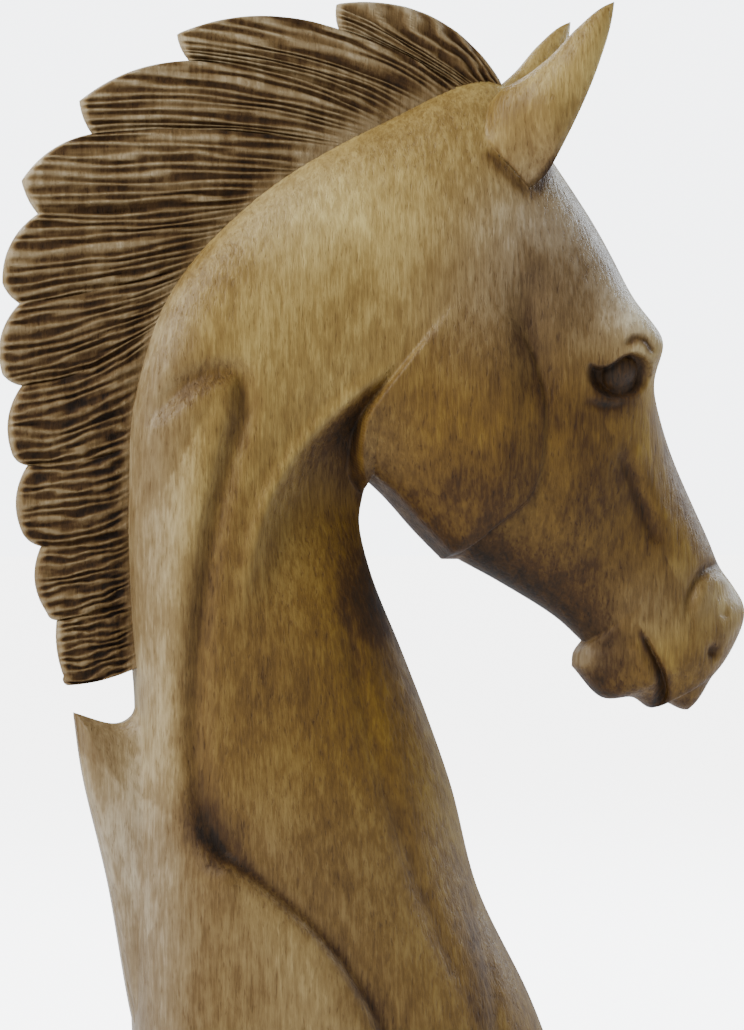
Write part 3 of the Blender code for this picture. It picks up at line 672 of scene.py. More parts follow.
# %% Withers
WITHERS_EDGE = ((-211, 382), (-217, 367), (-234, 361), (-268, 371), (-259, 311), (-237, 218), (-218, 110),
                (-196, 20))
WITHERS_CORNER = 3
WITHERS_ROOT_X = -170.0
WITHERS_ROOT_Z = (335.0, 20.0)
WITHERS_ROOT_HALF = 46.0
WITHERS_EDGE_HALF = 17.0
WITHERS_ROWS = 90
WITHERS_COLUMNS = 14
WITHERS_RIM_START = 0.88
RIM_SHARE = 0.45


def plate_mesh(name, columns):
    """A plate that mirrors itself in the mid-plane, from columns of x, z and half thickness."""
    columns = np.asarray(columns)
    count, length = columns.shape[:2]
    near = np.stack((columns[..., 0], -columns[..., 2], columns[..., 1]), axis=-1)
    far = near * (1.0, -1.0, 1.0)
    loops = np.concatenate((near, far[:, ::-1]), axis=1)
    return mesh_from(name, loops.reshape(-1, 3), ring_faces(count, 2 * length))


def withers_mesh():
    """The fin of the withers, thick at its root in the body and thin at its rounded edge."""
    places = np.arange(float(len(WITHERS_EDGE)))
    edge = curve_through(places, WITHERS_EDGE, (WITHERS_CORNER,), np.linspace(0.0, places[-1], WITHERS_ROWS))
    reach = np.sin(np.linspace(0.0, math.pi / 2, WITHERS_COLUMNS))
    rim = np.sqrt(1.0 - smooth_step(WITHERS_RIM_START, 1.0, reach) ** 2 * (1.0 - RIM_SHARE ** 2))
    half = (WITHERS_ROOT_HALF + (WITHERS_EDGE_HALF - WITHERS_ROOT_HALF) * reach) * rim
    columns = []
    for (x, z), root_z in zip(edge, np.linspace(*WITHERS_ROOT_Z, len(edge))):
        columns.append(np.column_stack((WITHERS_ROOT_X + (x - WITHERS_ROOT_X) * reach,
                                        root_z + (z - root_z) * reach, half)))
    return plate_mesh("withers", columns)


print("withers:", WITHERS_ROWS, "rows")

# %% Fuse the forms


def fused(body_form, others):
    """One closed mesh of the body and the other forms."""
    carving = add_object("carving", body_form)
    for form in others:
        tool = add_object("tool", form)
        modifier = carving.modifiers.new("join", "BOOLEAN")
        modifier.operation = "UNION"
        modifier.solver = "EXACT"
        modifier.object = tool
        graph = bpy.context.evaluated_depsgraph_get()
        carving.data = bpy.data.meshes.new_from_object(carving.evaluated_get(graph))
        carving.modifiers.clear()
        bpy.data.objects.remove(tool)
    mesh = carving.data
    bpy.data.objects.remove(carving)
    return mesh


body = fused(body, [withers_mesh(), ear_mesh(-1), ear_mesh(1)])
print("fused body:", len(body.vertices), "points")

# %% [markdown]
# The underside is flat, as a saw left it. The body runs on a little below it, so that one cut makes it
# flat.

# %% Cut flat
CUT_TOLERANCE = 1e-4


def cut_flat(mesh):
    """Cut the underside flat at z = 0 and close it."""
    work = bmesh.new()
    work.from_mesh(mesh)
    everything = work.verts[:] + work.edges[:] + work.faces[:]
    bmesh.ops.bisect_plane(work, geom=everything, dist=CUT_TOLERANCE, plane_co=(0, 0, 0), plane_no=(0, 0, -1),
                           clear_outer=True)
    rim = [edge for edge in work.edges if edge.is_boundary]
    bmesh.ops.contextual_create(work, geom=rim)
    bmesh.ops.recalc_face_normals(work, faces=work.faces)
    work.to_mesh(mesh)
    work.free()
    mesh.update()


cut_flat(body)
print("cut body:", len(body.polygons), "faces")

# %% [markdown]
# Shade is painted into the wood's colour where it falls: in the hollow behind the cheek, in the grooves and
# creases, under the jaw, around the mouth, in the eye and on faces that look down. Painted highlights lie on
# the ridges, the crest, the brow and the tips of nose and chin. A tone from 0, darkest, to 1, palest, is
# worked out for each point from the same drawn lines, and stored as an attribute that the wood material
# reads. A second value, warmth, says how strongly a yellow-brown tint colours the wood, and is lowered to
# grey where cool reflections are painted, and a third, polish, makes the middle of the eye glossy.

# %% Strokes and spots of painted light and shade
X, Z = 0, 1
TONE_BASE = 0.43
# Lines along which shade is painted: at the foot of the ear and under the jaw
EAR_FOOT = ((97, 862), (112, 848), (134, 830), (146, 843), (152, 852))
JAW_LINE = ((70, 508), (110, 494), (150, 470), (190, 440))

# Painted highlights on the crest, the bulge of the neck, the brow, the lid, the nose and the chin's tip;
# painted shade under the arch of the neck groove, at its lower end, under the eye and around the chin; and
# milder darker or paler patches.
# Columns: x and z of the middle, width, height against width, and how much paler the middle is.
WOOD_TONE_PAINTED_LIGHT_AND_SHADE_SPOTS = (
    (-10, 860, 190, 0.9, 0.20), (-60, 815, 62, 0.8, 0.16), (-150, 640, 120, 1.2, 0.10),
    (-8, 470, 30, 1.7, -0.34), (-142, 640, 34, 1.0, -0.23), (-158, 275, 26, 1.3, -0.20),
    (-95, 430, 70, 1.6, -0.09), (5, 240, 60, 1.0, -0.08), (108, 110, 60, 1.5, -0.09),
    (-175, 190, 60, 1.0, -0.06), (202, 652, 24, 1.0, -0.20), (205, 405, 30, 1.0, -0.20),
    (320, 470, 26, 1.0, 0.26), (268, 442, 24, 1.0, 0.10), (226, 724, 30, 1.0, 0.34),
    (236, 690, 20, 1.0, 0.16), (190, 419, 13, 1.5, 0.30), (60, 536, 36, 1.0, 0.11),
    (200, 410, 30, 1.0, 0.05), (165, 505, 46, 1.0, -0.05), (141, 737, 46, 1.3, -0.12),
    (90, 700, 60, 1.0, -0.07), (185, 580, 60, 1.0, -0.06), (202, 622, 48, 1.0, -0.13),
    (215, 648, 22, 1.0, -0.08),
)
# Less tint, so greyer: painted cool reflections on the crest, the forehead, the brow, the nose and the chin's
# tip, and grey-green patches on the temple
GREY_AND_PAINTED_REFLECTION_SPOTS = (
    (141, 737, 80, 1.0, -0.35), (226, 725, 60, 1.0, -0.40), (90, 710, 60, 1.0, -0.20),
    (318, 470, 55, 1.0, -0.50), (240, 462, 40, 1.0, -0.45), (120, 800, 60, 1.0, -0.25),
    (175, 800, 60, 1.0, -0.40), (190, 419, 26, 1.0, -0.90), (-110, 830, 70, 1.0, -0.15),
)
# Painted shade along the neck groove, the creases, the temple, the face line, the nostril's wing, the lid
# fold, the eye bag and the foot of the ear, and a painted highlight on the nose's side of the face line.
# The same columns as the grooves', with tone in place of height
PAINTED_SHADE_AND_HIGHLIGHT_STROKES = (
    (NECK_GROOVE, 0.0, 1, 0.25, 0.0, -0.10, -2, 8),
    (NECK_GROOVE, 0.0, 1, 0.25, 0.0, -0.06, -8, 16),
    (SHOULDER_CREASE, 0.20, 4, 0.0, 0.0, 0.0, 0, 1),
    (JUGULAR, 0.07, 4, 0.0, 0.0, 0.0, 0, 1),
    (TEMPLE, 0.12, 16, 0.0, 0.0, 0.0, 0, 1),
    (FACE_LINE, 0.0, 1, 0.3, 0.2, -0.16, -2, 6),
    (FACE_LINE, 0.0, 1, 0.0, 0.0, 0.10, 22, 14),
    (NOSTRIL_WING, 0.0, 1, 0.0, 0.5, -0.18, -2, 5),
    (LID_FOLD, 0.0, 1, 0.3, 0.2, -0.50, -1, 4.5),
    (EYE_BAG, 0.10, 3, 0.2, 0.2, 0.0, 0, 1),
    (EAR_FOOT, 0.34, 6, 0.0, 0.0, 0.0, 0, 1),
)
# Darker towards the bottom and across the lower face, painted light along the back edge, and paler on the
# ears and the top of the poll. How much paler, then the edges: which way each runs, where it starts and where
# it is full
WOOD_TONE_AND_PAINTED_LIGHT_BANDS = (
    (-0.05, (Z, 200, 100)),
    (-0.10, (X, -50, 50), (Z, 280, 420), (Z, 640, 560)),
    (0.07, (X, -170, -215)),
    (0.12, (Z, 905, 930)),
)


def spot(side_view, x, z, width, stretch=1.0):
    """A soft round or upright patch in the side view; stretch above 1 makes it taller than wide."""
    return hump(np.hypot(side_view[:, X] - x, (side_view[:, Z] - z) / stretch), width)


def spots(side_view, rows):
    """The sum of a table of spots."""
    return sum(amount * spot(side_view, *place) for *place, amount in rows)


def band(side_view, *edges):
    """1 where all the soft edges are passed, 0 before any of them."""
    inside = np.ones(len(side_view))
    for axis, start, end in edges:
        inside = inside * smooth_step(start, end, side_view[:, axis])
    return inside


def bands(side_view, rows):
    """The sum of a table of bands."""
    return sum(amount * band(side_view, *edges) for amount, *edges in rows)


# Counts of the tables of painted light and shade and of the wood's own tone
print(len(WOOD_TONE_PAINTED_LIGHT_AND_SHADE_SPOTS), "spots,", len(PAINTED_SHADE_AND_HIGHLIGHT_STROKES), "strokes and", len(WOOD_TONE_AND_PAINTED_LIGHT_BANDS), "bands of tone and painted light")

# %% Painted light and shade, and tone of the wood, on neck and head
# Painted shade in the hollow behind the cheek, deepest where the cheek's edge shades the neck
SCOOP_PAINTED_SHADE = 0.03
SCOOP_DEEPEST_PAINTED_SHADE = 0.36
SCOOP_DEEPEST = (-26, 612)
SCOOP_DEEPEST_WIDTH = 42
SCOOP_DEEPEST_SQUEEZE = (1.2, 0.6)
SCOOP_EDGES = ((Z, 680, 648), (X, 40, 15))
# Painted highlight along the hollow's ridge
RIDGE_PAINTED_HIGHLIGHT, RIDGE_PAINTED_HIGHLIGHT_AT, RIDGE_PAINTED_HIGHLIGHT_WIDTH = 0.10, 5, 5
RIDGE_PAINTED_HIGHLIGHT_EDGES = ((Z, 430, 520), (Z, 668, 640))
# Painted sheen on the bank beside the neck groove
BANK_PAINTED_SHEEN, BANK_PAINTED_SHEEN_AT, BANK_PAINTED_SHEEN_WIDTH = 0.16, 30, 20
BANK_PAINTED_SHEEN_EDGE = (Z, 250, 330)
# Painted shade below the shoulder's crease and a painted highlight on the shoulder
CREASE_PAINTED_SHADE, CREASE_PAINTED_SHADE_AT, CREASE_PAINTED_SHADE_WIDTH = 0.09, 8, 14
SHOULDER_PAINTED_HIGHLIGHT = 0.09
# Painted shade on the chest
CHEST_PAINTED_SHADE = 0.10
CHEST_EDGES = ((Z, 230, 200), (X, 60, 80))
CHEEK_DARK = 0.13
CHEEK_DARK_EDGE = (Z, 760, 640)
# Painted shade along the cheek plate's rim, under the jaw, in the nostril pits and in the mouth, and a
# painted highlight on the lip
CHEEK_RIM_PAINTED_SHADE, CHEEK_RIM_WIDTH = 0.08, 4
CHEEK_RIM_EDGE = (Z, 690, 600)
JAW_PAINTED_SHADE, JAW_WIDTH = 0.17, 26
JAW_EDGE = (X, 70, 90)
PIT_PAINTED_SHADE = 0.05
MOUTH_PAINTED_SHADE, LIP_PAINTED_HIGHLIGHT = 0.34, 0.08
# Under the upper lid the eye's own dark colour with painted shade of the lid on it; the paler eyeball and the
# pupil are the eye's own colours
EYE_OWN_DARK_AND_PAINTED_LID_SHADE, BALL_PALE, PUPIL_DARK = 0.55, 0.24, 0.40
BALL_EDGE = (0.2, 0.6)
PUPIL_WIDTH = 10


def neck_tone(side_view):
    """Painted shade and painted highlights of the neck and chest that depend on more than one line."""
    jowl = inside_outline(side_view, JOWL_OUTLINE)
    ridge, _ = beside_line(side_view, HOLLOW_RIDGE)
    scoop = smooth_step(-2, 8, ridge) * smooth_step(2, -1, jowl) * band(side_view, *SCOOP_EDGES)
    from_deepest = (side_view - SCOOP_DEEPEST) * SCOOP_DEEPEST_SQUEEZE
    deepest = hump(np.hypot(*from_deepest.T), SCOOP_DEEPEST_WIDTH)
    tone = -scoop * (SCOOP_PAINTED_SHADE + SCOOP_DEEPEST_PAINTED_SHADE * deepest)
    painted_ridge_highlight = hump(ridge + RIDGE_PAINTED_HIGHLIGHT_AT, RIDGE_PAINTED_HIGHLIGHT_WIDTH) * band(side_view, *RIDGE_PAINTED_HIGHLIGHT_EDGES)
    tone = tone + RIDGE_PAINTED_HIGHLIGHT * painted_ridge_highlight
    groove, place = beside_line(side_view, NECK_GROOVE)
    bank = hump(groove + BANK_PAINTED_SHEEN_AT, BANK_PAINTED_SHEEN_WIDTH) * smooth_step(0.0, 0.25, place)
    tone = tone + BANK_PAINTED_SHEEN * bank * band(side_view, BANK_PAINTED_SHEEN_EDGE)
    crease, place = beside_line(side_view, SHOULDER_CREASE)
    tone = tone - CREASE_PAINTED_SHADE * hump(crease - CREASE_PAINTED_SHADE_AT, CREASE_PAINTED_SHADE_WIDTH) * (1.0 - 0.5 * place)
    tone = tone + SHOULDER_PAINTED_HIGHLIGHT * smooth_step(-2, -26, crease)
    chest, _ = beside_line(side_view, CHEST_CREASE)
    return tone - CHEST_PAINTED_SHADE * smooth_step(3, -6, chest) * band(side_view, *CHEST_EDGES)


def head_tone(side_view):
    """Tone of the head that depends on more than one line: painted shade along the cheek's rim, under the
    jaw, in the nostrils, the mouth and under the upper lid, a painted highlight on the lip, a darker cheek
    plate and the eye's own colours.
    """
    x, z = side_view.T
    jowl = inside_outline(side_view, JOWL_OUTLINE)
    tone = -CHEEK_DARK * smooth_step(-1, 4, jowl) * band(side_view, CHEEK_DARK_EDGE)
    tone = tone - CHEEK_RIM_PAINTED_SHADE * hump(jowl, CHEEK_RIM_WIDTH) * band(side_view, CHEEK_RIM_EDGE)
    jaw, _ = beside_line(side_view, JAW_LINE)
    tone = tone - JAW_PAINTED_SHADE * hump(jaw, JAW_WIDTH) * smooth_step(2, -2, jowl) * band(side_view, JAW_EDGE)
    for pit_x, pit_z, depth, width in NOSTRIL_PITS:
        tone = tone - PIT_PAINTED_SHADE * depth * hump(np.hypot(x - pit_x, z - pit_z), width)
    lips, place = beside_line(side_view, MOUTH)
    tone = tone - MOUTH_PAINTED_SHADE * hump(lips + 3, 3 + 5 * place) + LIP_PAINTED_HIGHLIGHT * hump(lips - 8, 6)
    lidded = under_lid(side_view)
    ball = lidded * smooth_step(*BALL_EDGE, eyeball(side_view))
    pupil = spot(side_view, *EYEBALL, PUPIL_WIDTH)
    return tone - EYE_OWN_DARK_AND_PAINTED_LID_SHADE * lidded + BALL_PALE * ball - PUPIL_DARK * ball * pupil


print("tones ready")

# %% Tint and polish, and all three stored
WARM_BASE, WARM_CHEEK, WARM_FRONT = 0.74, 0.26, 0.30
CHEEK_EDGES = ((X, -20, 50), (Z, 730, 620), (Z, 330, 420))
CHEEK_FORWARD_DROP = 0.9
CHEEK_FORWARD_EDGE = (X, 225, 285)
FRONT_EDGES = ((X, -120, 20), (Z, 200, 400), (Z, 600, 520))
# Greyer along the back edge and low at the back: painted cool reflection
GREYER_PAINTED_REFLECTION_BANDS = ((-0.45, (X, -150, -215)), (-0.20, (Z, 340, 240), (X, 60, -60)))
# Painted shade on faces that look down
FACING_DOWN = (-0.15, -0.7)
FACING_DOWN_PAINTED_SHADE = 0.14


def warmth(side_view):
    """How strongly the yellow-brown tint colours the wood, from 0 to 1, lowered to grey where cool
    reflections are painted and on the temple.
    """
    cheek = band(side_view, *CHEEK_EDGES) * (1.0 - CHEEK_FORWARD_DROP * band(side_view, CHEEK_FORWARD_EDGE))
    front = band(side_view, *FRONT_EDGES)
    warm = WARM_BASE + WARM_CHEEK * cheek + WARM_FRONT * front * (1.0 - cheek)
    return np.clip(warm + spots(side_view, GREY_AND_PAINTED_REFLECTION_SPOTS) + bands(side_view, GREYER_PAINTED_REFLECTION_BANDS), 0.0, 1.0)


def store_attribute(mesh, name, values):
    """Store one number for each point of a mesh."""
    attribute = mesh.attributes.new(name, "FLOAT", "POINT")
    attribute.data.foreach_set("value", np.asarray(values, dtype=np.float32))


def paint_body(mesh):
    """Store the tone, with its painted light and shade, the tint's strength and the eye's polish on the body.
    """
    points, normals = mesh_arrays(mesh)
    side_view = points[:, [0, 2]]
    tone = TONE_BASE + neck_tone(side_view) + head_tone(side_view) + grooves(side_view, PAINTED_SHADE_AND_HIGHLIGHT_STROKES)
    tone = tone + spots(side_view, WOOD_TONE_PAINTED_LIGHT_AND_SHADE_SPOTS) + bands(side_view, WOOD_TONE_AND_PAINTED_LIGHT_BANDS)
    # Painted shade where the surface faces down
    tone = tone - FACING_DOWN_PAINTED_SHADE * smooth_step(*FACING_DOWN, normals[:, 2])
    store_attribute(mesh, "tone", np.clip(tone, 0.0, 1.0))
    store_attribute(mesh, "warmth", warmth(side_view))
    store_attribute(mesh, "polish", under_lid(side_view) * spot(side_view, *EYEBALL, PUPIL_WIDTH))
    return tone


tone = paint_body(body)
print("tone runs from", round(float(tone.min()), 2), "to", round(float(tone.max()), 2))

# %% [markdown]
# The mane is the showpiece: ten overlapping locks, each cut with a V-gouge into hairs that run from the
# neck to the outer edge. It could be carved with hundreds of separate strokes. Instead, a smooth plate
# carries three numbers for each point (which hair, how far along it, how far from the rim), and a
# Geometry Nodes tree turns those numbers into grooves, so that the depth and unevenness of the cuts are
# inputs that can be changed at once.

# %% Outline of the locks
# Columns: root x and z, notch x and z, bend of the line between them, tip x and z of the lock that follows,
# belly of its outer edge, and the share of its hairs that end before the tip.
MANE_ROWS = (
    (118, 920, 116, 935, 0, -32, 1000, 26, 0.45),
    (87, 916, -29, 975, 8, -176, 970, 15, 0.45),
    (23, 893, -165, 946, 12, -263, 909, 9, 0.50),
    (-23, 871, -252, 880, 9, -314, 838, 8, 0.60),
    (-99, 823, -300, 809, -4, -331, 748, 9, 0.75),
    (-158, 766, -316, 730, -4, -331, 668, 9, 0.80),
    (-198, 706, -314, 658, -9, -322, 597, 8, 0.80),
    (-215, 606, -309, 588, -5, -313, 528, 8, 0.80),
    (-216, 531, -297, 517, -5, -292, 459, 8, 0.80),
    (-216, 466, -283, 452, -2, -277, 403, 3, 0.85),
    (-215, 410, -274, 395, -3, None, None, None, None),
)
MANE_ROOT_IN_NECK = 24.0
MANE_ROOT_HALF = 15.0
MANE_EDGE_HALF = 7.0
MANE_RIM = 7.0
LOCK_STEP = 4.6
LOCK_CROWN = 2.0
LOCK_GAP = 0.012
HAIRS_PER_LOCK = 9
COLUMNS_PER_HAIR = 8
HAIR_GROOVE = 3.6
ALONG_STEPS = 34
RIM_STEPS = 7
LOCK_RISE = (0.0, 0.3)
CROWN_RISE = (0.1, 0.5)
RIM_SQUARE = 0.10
LINE_SAMPLES = 41
EDGE_SAMPLES = (24, 9)
TIP_BELLY = 2.0
WALK_SAMPLES = 60


def arc_between(start, end, belly, steps):
    """Points from start to end on a curve that swells to its right by the belly."""
    start, end = np.asarray(start, dtype=float), np.asarray(end, dtype=float)
    share = np.linspace(0.0, 1.0, steps)[:, None]
    along = end - start
    right = np.array((along[1], -along[0])) / max(np.linalg.norm(along), 1e-6)
    return start + share * along + right * belly * 4.0 * share * (1.0 - share)


def lock_line(upper, lower, place, steps):
    """Side-view points along one hair of a lock, place 0 on its upper line and 1 on its lower line."""
    fine = np.linspace(0.0, 1.0, LINE_SAMPLES)
    to_tip, from_tip = EDGE_SAMPLES
    lines = [arc_between(row[0:2], row[2:4], row[4], LINE_SAMPLES) for row in (upper, lower)]
    edge = np.vstack((arc_between(upper[2:4], upper[5:7], upper[7], to_tip),
                      arc_between(upper[5:7], lower[2:4], TIP_BELLY, from_tip)[1:]))
    edge_place = np.concatenate((np.linspace(0.0, upper[8], to_tip),
                                 np.linspace(upper[8], 1.0, from_tip)[1:]))
    first, second = [np.column_stack([np.interp(steps, fine, line[:, axis]) for axis in (0, 1)])
                     for line in lines]
    end = np.array([np.interp(place, edge_place, edge[:, axis]) for axis in (0, 1)])
    straight_end = (1.0 - place) * lines[0][-1] + place * lines[1][-1]
    return (1.0 - place) * first + place * second + steps[:, None] ** 2 * (end - straight_end)


print(len(MANE_ROWS) - 1, "locks")

# %% Smooth plate of the mane


def mane_plate():
    """The uncut mane, with the hair, the reach and the rim stored for each point."""
    columns, hairs, reaches, rims = [], [], [], []
    for number, (upper, lower) in enumerate(zip(MANE_ROWS, MANE_ROWS[1:])):
        places = np.linspace(0.0, 1.0, HAIRS_PER_LOCK * COLUMNS_PER_HAIR + 1)
        places[0] = LOCK_GAP
        for place in places:
            rough = lock_line(upper, lower, place, np.linspace(0.0, 1.0, WALK_SAMPLES))
            walk = np.concatenate(([0.0], np.cumsum(np.hypot(*np.diff(rough, axis=0).T))))
            rim_start = 1.0 - MANE_RIM / walk[-1]
            main = np.linspace(0.0, rim_start, ALONG_STEPS, endpoint=False)
            bend = np.sin(np.linspace(0.0, math.pi / 2, RIM_STEPS))
            reach = np.concatenate((main, rim_start + (1.0 - rim_start) * bend))
            steps = np.interp(reach * walk[-1], walk, np.linspace(0.0, 1.0, WALK_SAMPLES))
            side = lock_line(upper, lower, place, steps)
            into_neck = (side[0] - side[2]) / np.linalg.norm(side[0] - side[2])
            side = np.vstack((side[0] + into_neck * MANE_ROOT_IN_NECK, side))
            reach = np.concatenate(([0.0], reach))
            from_rim = np.clip((1.0 - reach) * walk[-1] / MANE_RIM, 0.0, 1.0)
            half = MANE_ROOT_HALF + (MANE_EDGE_HALF - MANE_ROOT_HALF) * reach
            half = half + LOCK_STEP * (1.0 - place) * smooth_step(*LOCK_RISE, reach)
            half = half + LOCK_CROWN * np.sin(math.pi * place) * smooth_step(*CROWN_RISE, reach)
            half = half * np.sqrt(RIM_SQUARE + (1.0 - RIM_SQUARE) * (1.0 - (1.0 - from_rim) ** 2))
            columns.append(np.column_stack((side, half)))
            hairs.append(np.full(len(reach), (number + place) * HAIRS_PER_LOCK))
            reaches.append(reach)
            rims.append(from_rim)
    mesh = plate_mesh("mane", columns)
    for name, values in (("hair", hairs), ("reach", reaches), ("rim", rims)):
        values = np.asarray(values)
        store_attribute(mesh, name, np.concatenate((values, values[:, ::-1]), axis=1).ravel())
    return mesh


mane = mane_plate()
print("uncut mane:", len(mane.vertices), "points")

# %% [markdown]
# The tree below reads the three numbers. A hair's profile is a rounded ridge between two sharp cuts,
# which is what a V-gouge leaves: the distance from the middle of the hair, raised to a power. Grooves
# start shallow at the neck, and a slow noise makes some deeper than others. The depth of the cut is
# stored too, for the painted shade in the cuts.

# %% Geometry Nodes tree that cuts the hairs
# Scales are in waves a hair across and waves from root to rim.
WANDER_SCALE = (0.45, 1.8)
DEPTH_SCALE = (0.8, 2.6)
CHIP_SCALE = (3.2, 9.0)
DEPTH_RANGE = (0.35, 1.35)
CHIP_DEPTH = 0.35
ROOT_REACH, ROOT_DEPTH = 0.22, 0.15
RIM_DEPTH = 0.35
HAIR_SHARPNESS = 1.7


def math_node(tree, operation, first, second=None):
    """Add a math node; its inputs are numbers or sockets."""
    node = tree.nodes.new("ShaderNodeMath")
    node.operation = operation
    for socket, value in zip(node.inputs, (first, second)):
        if value is None:
            continue
        if isinstance(value, (int, float)):
            socket.default_value = value
        else:
            tree.links.new(value, socket)
    return node.outputs[0]


def named_number(tree, name):
    """Read a stored number by its name."""
    node = tree.nodes.new("GeometryNodeInputNamedAttribute")
    node.data_type = "FLOAT"
    node.inputs["Name"].default_value = name
    return node.outputs["Attribute"]


def ranged(tree, value, start, end, low=0.0, high=1.0):
    """Smoothly map a value from one range to another."""
    node = tree.nodes.new("ShaderNodeMapRange")
    node.interpolation_type = "SMOOTHSTEP"
    tree.links.new(value, node.inputs["Value"])
    for name, number in (("From Min", start), ("From Max", end), ("To Min", low), ("To Max", high)):
        node.inputs[name].default_value = number
    return node.outputs["Result"]


def flat_noise(tree, hair, reach, across, along):
    """Noise from about -0.5 to 0.5 over the flat map of hair number and reach."""
    together = tree.nodes.new("ShaderNodeCombineXYZ")
    tree.links.new(math_node(tree, "MULTIPLY", hair, across), together.inputs["X"])
    tree.links.new(math_node(tree, "MULTIPLY", reach, along), together.inputs["Y"])
    noise = tree.nodes.new("ShaderNodeTexNoise")
    noise.noise_dimensions = "2D"
    noise.inputs["Scale"].default_value = 1.0
    tree.links.new(together.outputs[0], noise.inputs["Vector"])
    return math_node(tree, "SUBTRACT", noise.outputs["Fac"], 0.5)


def add_sockets(tree, way, kind, *names):
    """Give a tree named inputs or outputs of one kind."""
    for name in names:
        tree.interface.new_socket(name, in_out=way, socket_type="NodeSocket" + kind)


def hair_cutter():
    """A Geometry Nodes tree that cuts V-shaped hairs into a plate."""
    tree = bpy.data.node_groups.new("hair_cutter", "GeometryNodeTree")
    add_sockets(tree, "INPUT", "Geometry", "Geometry")
    add_sockets(tree, "INPUT", "Float", "Groove depth", "Unevenness")
    add_sockets(tree, "INPUT", "Material", "Wood")
    add_sockets(tree, "OUTPUT", "Geometry", "Geometry")
    start = tree.nodes.new("NodeGroupInput")
    end = tree.nodes.new("NodeGroupOutput")
    hair, reach, rim = (named_number(tree, name) for name in ("hair", "reach", "rim"))

    wander = flat_noise(tree, hair, reach, *WANDER_SCALE)
    wander = math_node(tree, "MULTIPLY", wander, start.outputs["Unevenness"])
    off_middle = math_node(tree, "ABSOLUTE", math_node(tree, "SUBTRACT", math_node(
        tree, "FRACT", math_node(tree, "ADD", hair, wander)), 0.5))
    cut = math_node(tree, "SUBTRACT", 1.0, math_node(
        tree, "POWER", math_node(tree, "MULTIPLY", off_middle, 2.0), HAIR_SHARPNESS))
    uneven = ranged(tree, flat_noise(tree, hair, reach, *DEPTH_SCALE), -0.5, 0.5, *DEPTH_RANGE)
    depth = math_node(tree, "MULTIPLY", ranged(tree, reach, 0.0, ROOT_REACH, ROOT_DEPTH, 1.0), uneven)
    depth = math_node(tree, "MULTIPLY", depth, ranged(tree, rim, 0.0, 1.0, RIM_DEPTH, 1.0))
    chips = math_node(tree, "MULTIPLY", flat_noise(tree, hair, reach, *CHIP_SCALE), CHIP_DEPTH)
    groove = math_node(tree, "ADD", math_node(tree, "MULTIPLY", cut, depth), chips)
    lowered = math_node(tree, "MULTIPLY", groove, start.outputs["Groove depth"])

    where = tree.nodes.new("GeometryNodeInputPosition")
    parts = tree.nodes.new("ShaderNodeSeparateXYZ")
    tree.links.new(where.outputs[0], parts.inputs[0])
    inward = math_node(tree, "MULTIPLY", math_node(tree, "SIGN", parts.outputs["Y"]), -1.0)
    offset = tree.nodes.new("ShaderNodeCombineXYZ")
    tree.links.new(math_node(tree, "MULTIPLY", lowered, inward), offset.inputs["Y"])
    moved = tree.nodes.new("GeometryNodeSetPosition")
    tree.links.new(start.outputs["Geometry"], moved.inputs["Geometry"])
    tree.links.new(offset.outputs[0], moved.inputs["Offset"])

    # The cut's depth is kept for the painted shade in the cuts
    kept = tree.nodes.new("GeometryNodeStoreNamedAttribute")
    kept.data_type = "FLOAT"
    kept.domain = "POINT"
    kept.inputs["Name"].default_value = "cut"
    tree.links.new(moved.outputs[0], kept.inputs["Geometry"])
    tree.links.new(math_node(tree, "MULTIPLY", cut, depth), kept.inputs["Value"])
    real = tree.nodes.new("GeometryNodeRealizeInstances")
    tree.links.new(kept.outputs[0], real.inputs[0])
    dressed = tree.nodes.new("GeometryNodeSetMaterial")
    tree.links.new(real.outputs[0], dressed.inputs["Geometry"])
    tree.links.new(start.outputs["Wood"], dressed.inputs["Material"])
    tree.links.new(dressed.outputs[0], end.inputs["Geometry"])
    return tree


cutter = hair_cutter()
print("hair cutter has", len(cutter.nodes), "nodes")

# %% [markdown]
# Both woods share one effect, the stained grain: long fine pores and slow streaks that run up the block,
# along Z, since the block was cut from a standing trunk, around a tone that a ramp turns into a wood
# colour. It is a shader node group, so each material sets its own amounts by name. The group puts out the
# colour, the tone with its grain in it, and a height for the bump, and the shader stays in the material.

# %% Stained grain as a shader group
WOOD_TONES = (
    (0.00, (0.010, 0.005, 0.002)),
    (0.20, (0.047, 0.023, 0.007)),
    (0.40, (0.119, 0.074, 0.031)),
    (0.60, (0.216, 0.161, 0.095)),
    (0.80, (0.385, 0.325, 0.235)),
    (1.00, (0.620, 0.570, 0.460)),
)
# Columns: name, waves a metre across and along the grain, detail, and where the mask starts and is full
GRAIN_LAYERS = (
    ("Pores", 800.0, 120.0, 2.0, 0.58, 0.72),
    ("Fibres", 620.0, 60.0, 3.0, 0.30, 0.70),
    ("Mottle", 210.0, 75.0, 6.0, 0.30, 0.70),
    ("Clouds", 26.0, 14.0, 5.0, 0.32, 0.68),
)
HEIGHT_LAYERS = (("Pores", -1.2), ("Mottle", 0.8))
GRAIN_ROUGHNESS = 0.6


def stretched_noise(tree, vector, across, along, detail):
    """Noise that is fine across the grain and long along it."""
    mapping = tree.nodes.new("ShaderNodeMapping")
    mapping.inputs["Scale"].default_value = (across, across, along)
    tree.links.new(vector, mapping.inputs["Vector"])
    noise = tree.nodes.new("ShaderNodeTexNoise")
    noise.inputs["Scale"].default_value = 1.0
    noise.inputs["Detail"].default_value = detail
    noise.inputs["Roughness"].default_value = GRAIN_ROUGHNESS
    tree.links.new(mapping.outputs[0], noise.inputs["Vector"])
    return noise.outputs["Fac"]


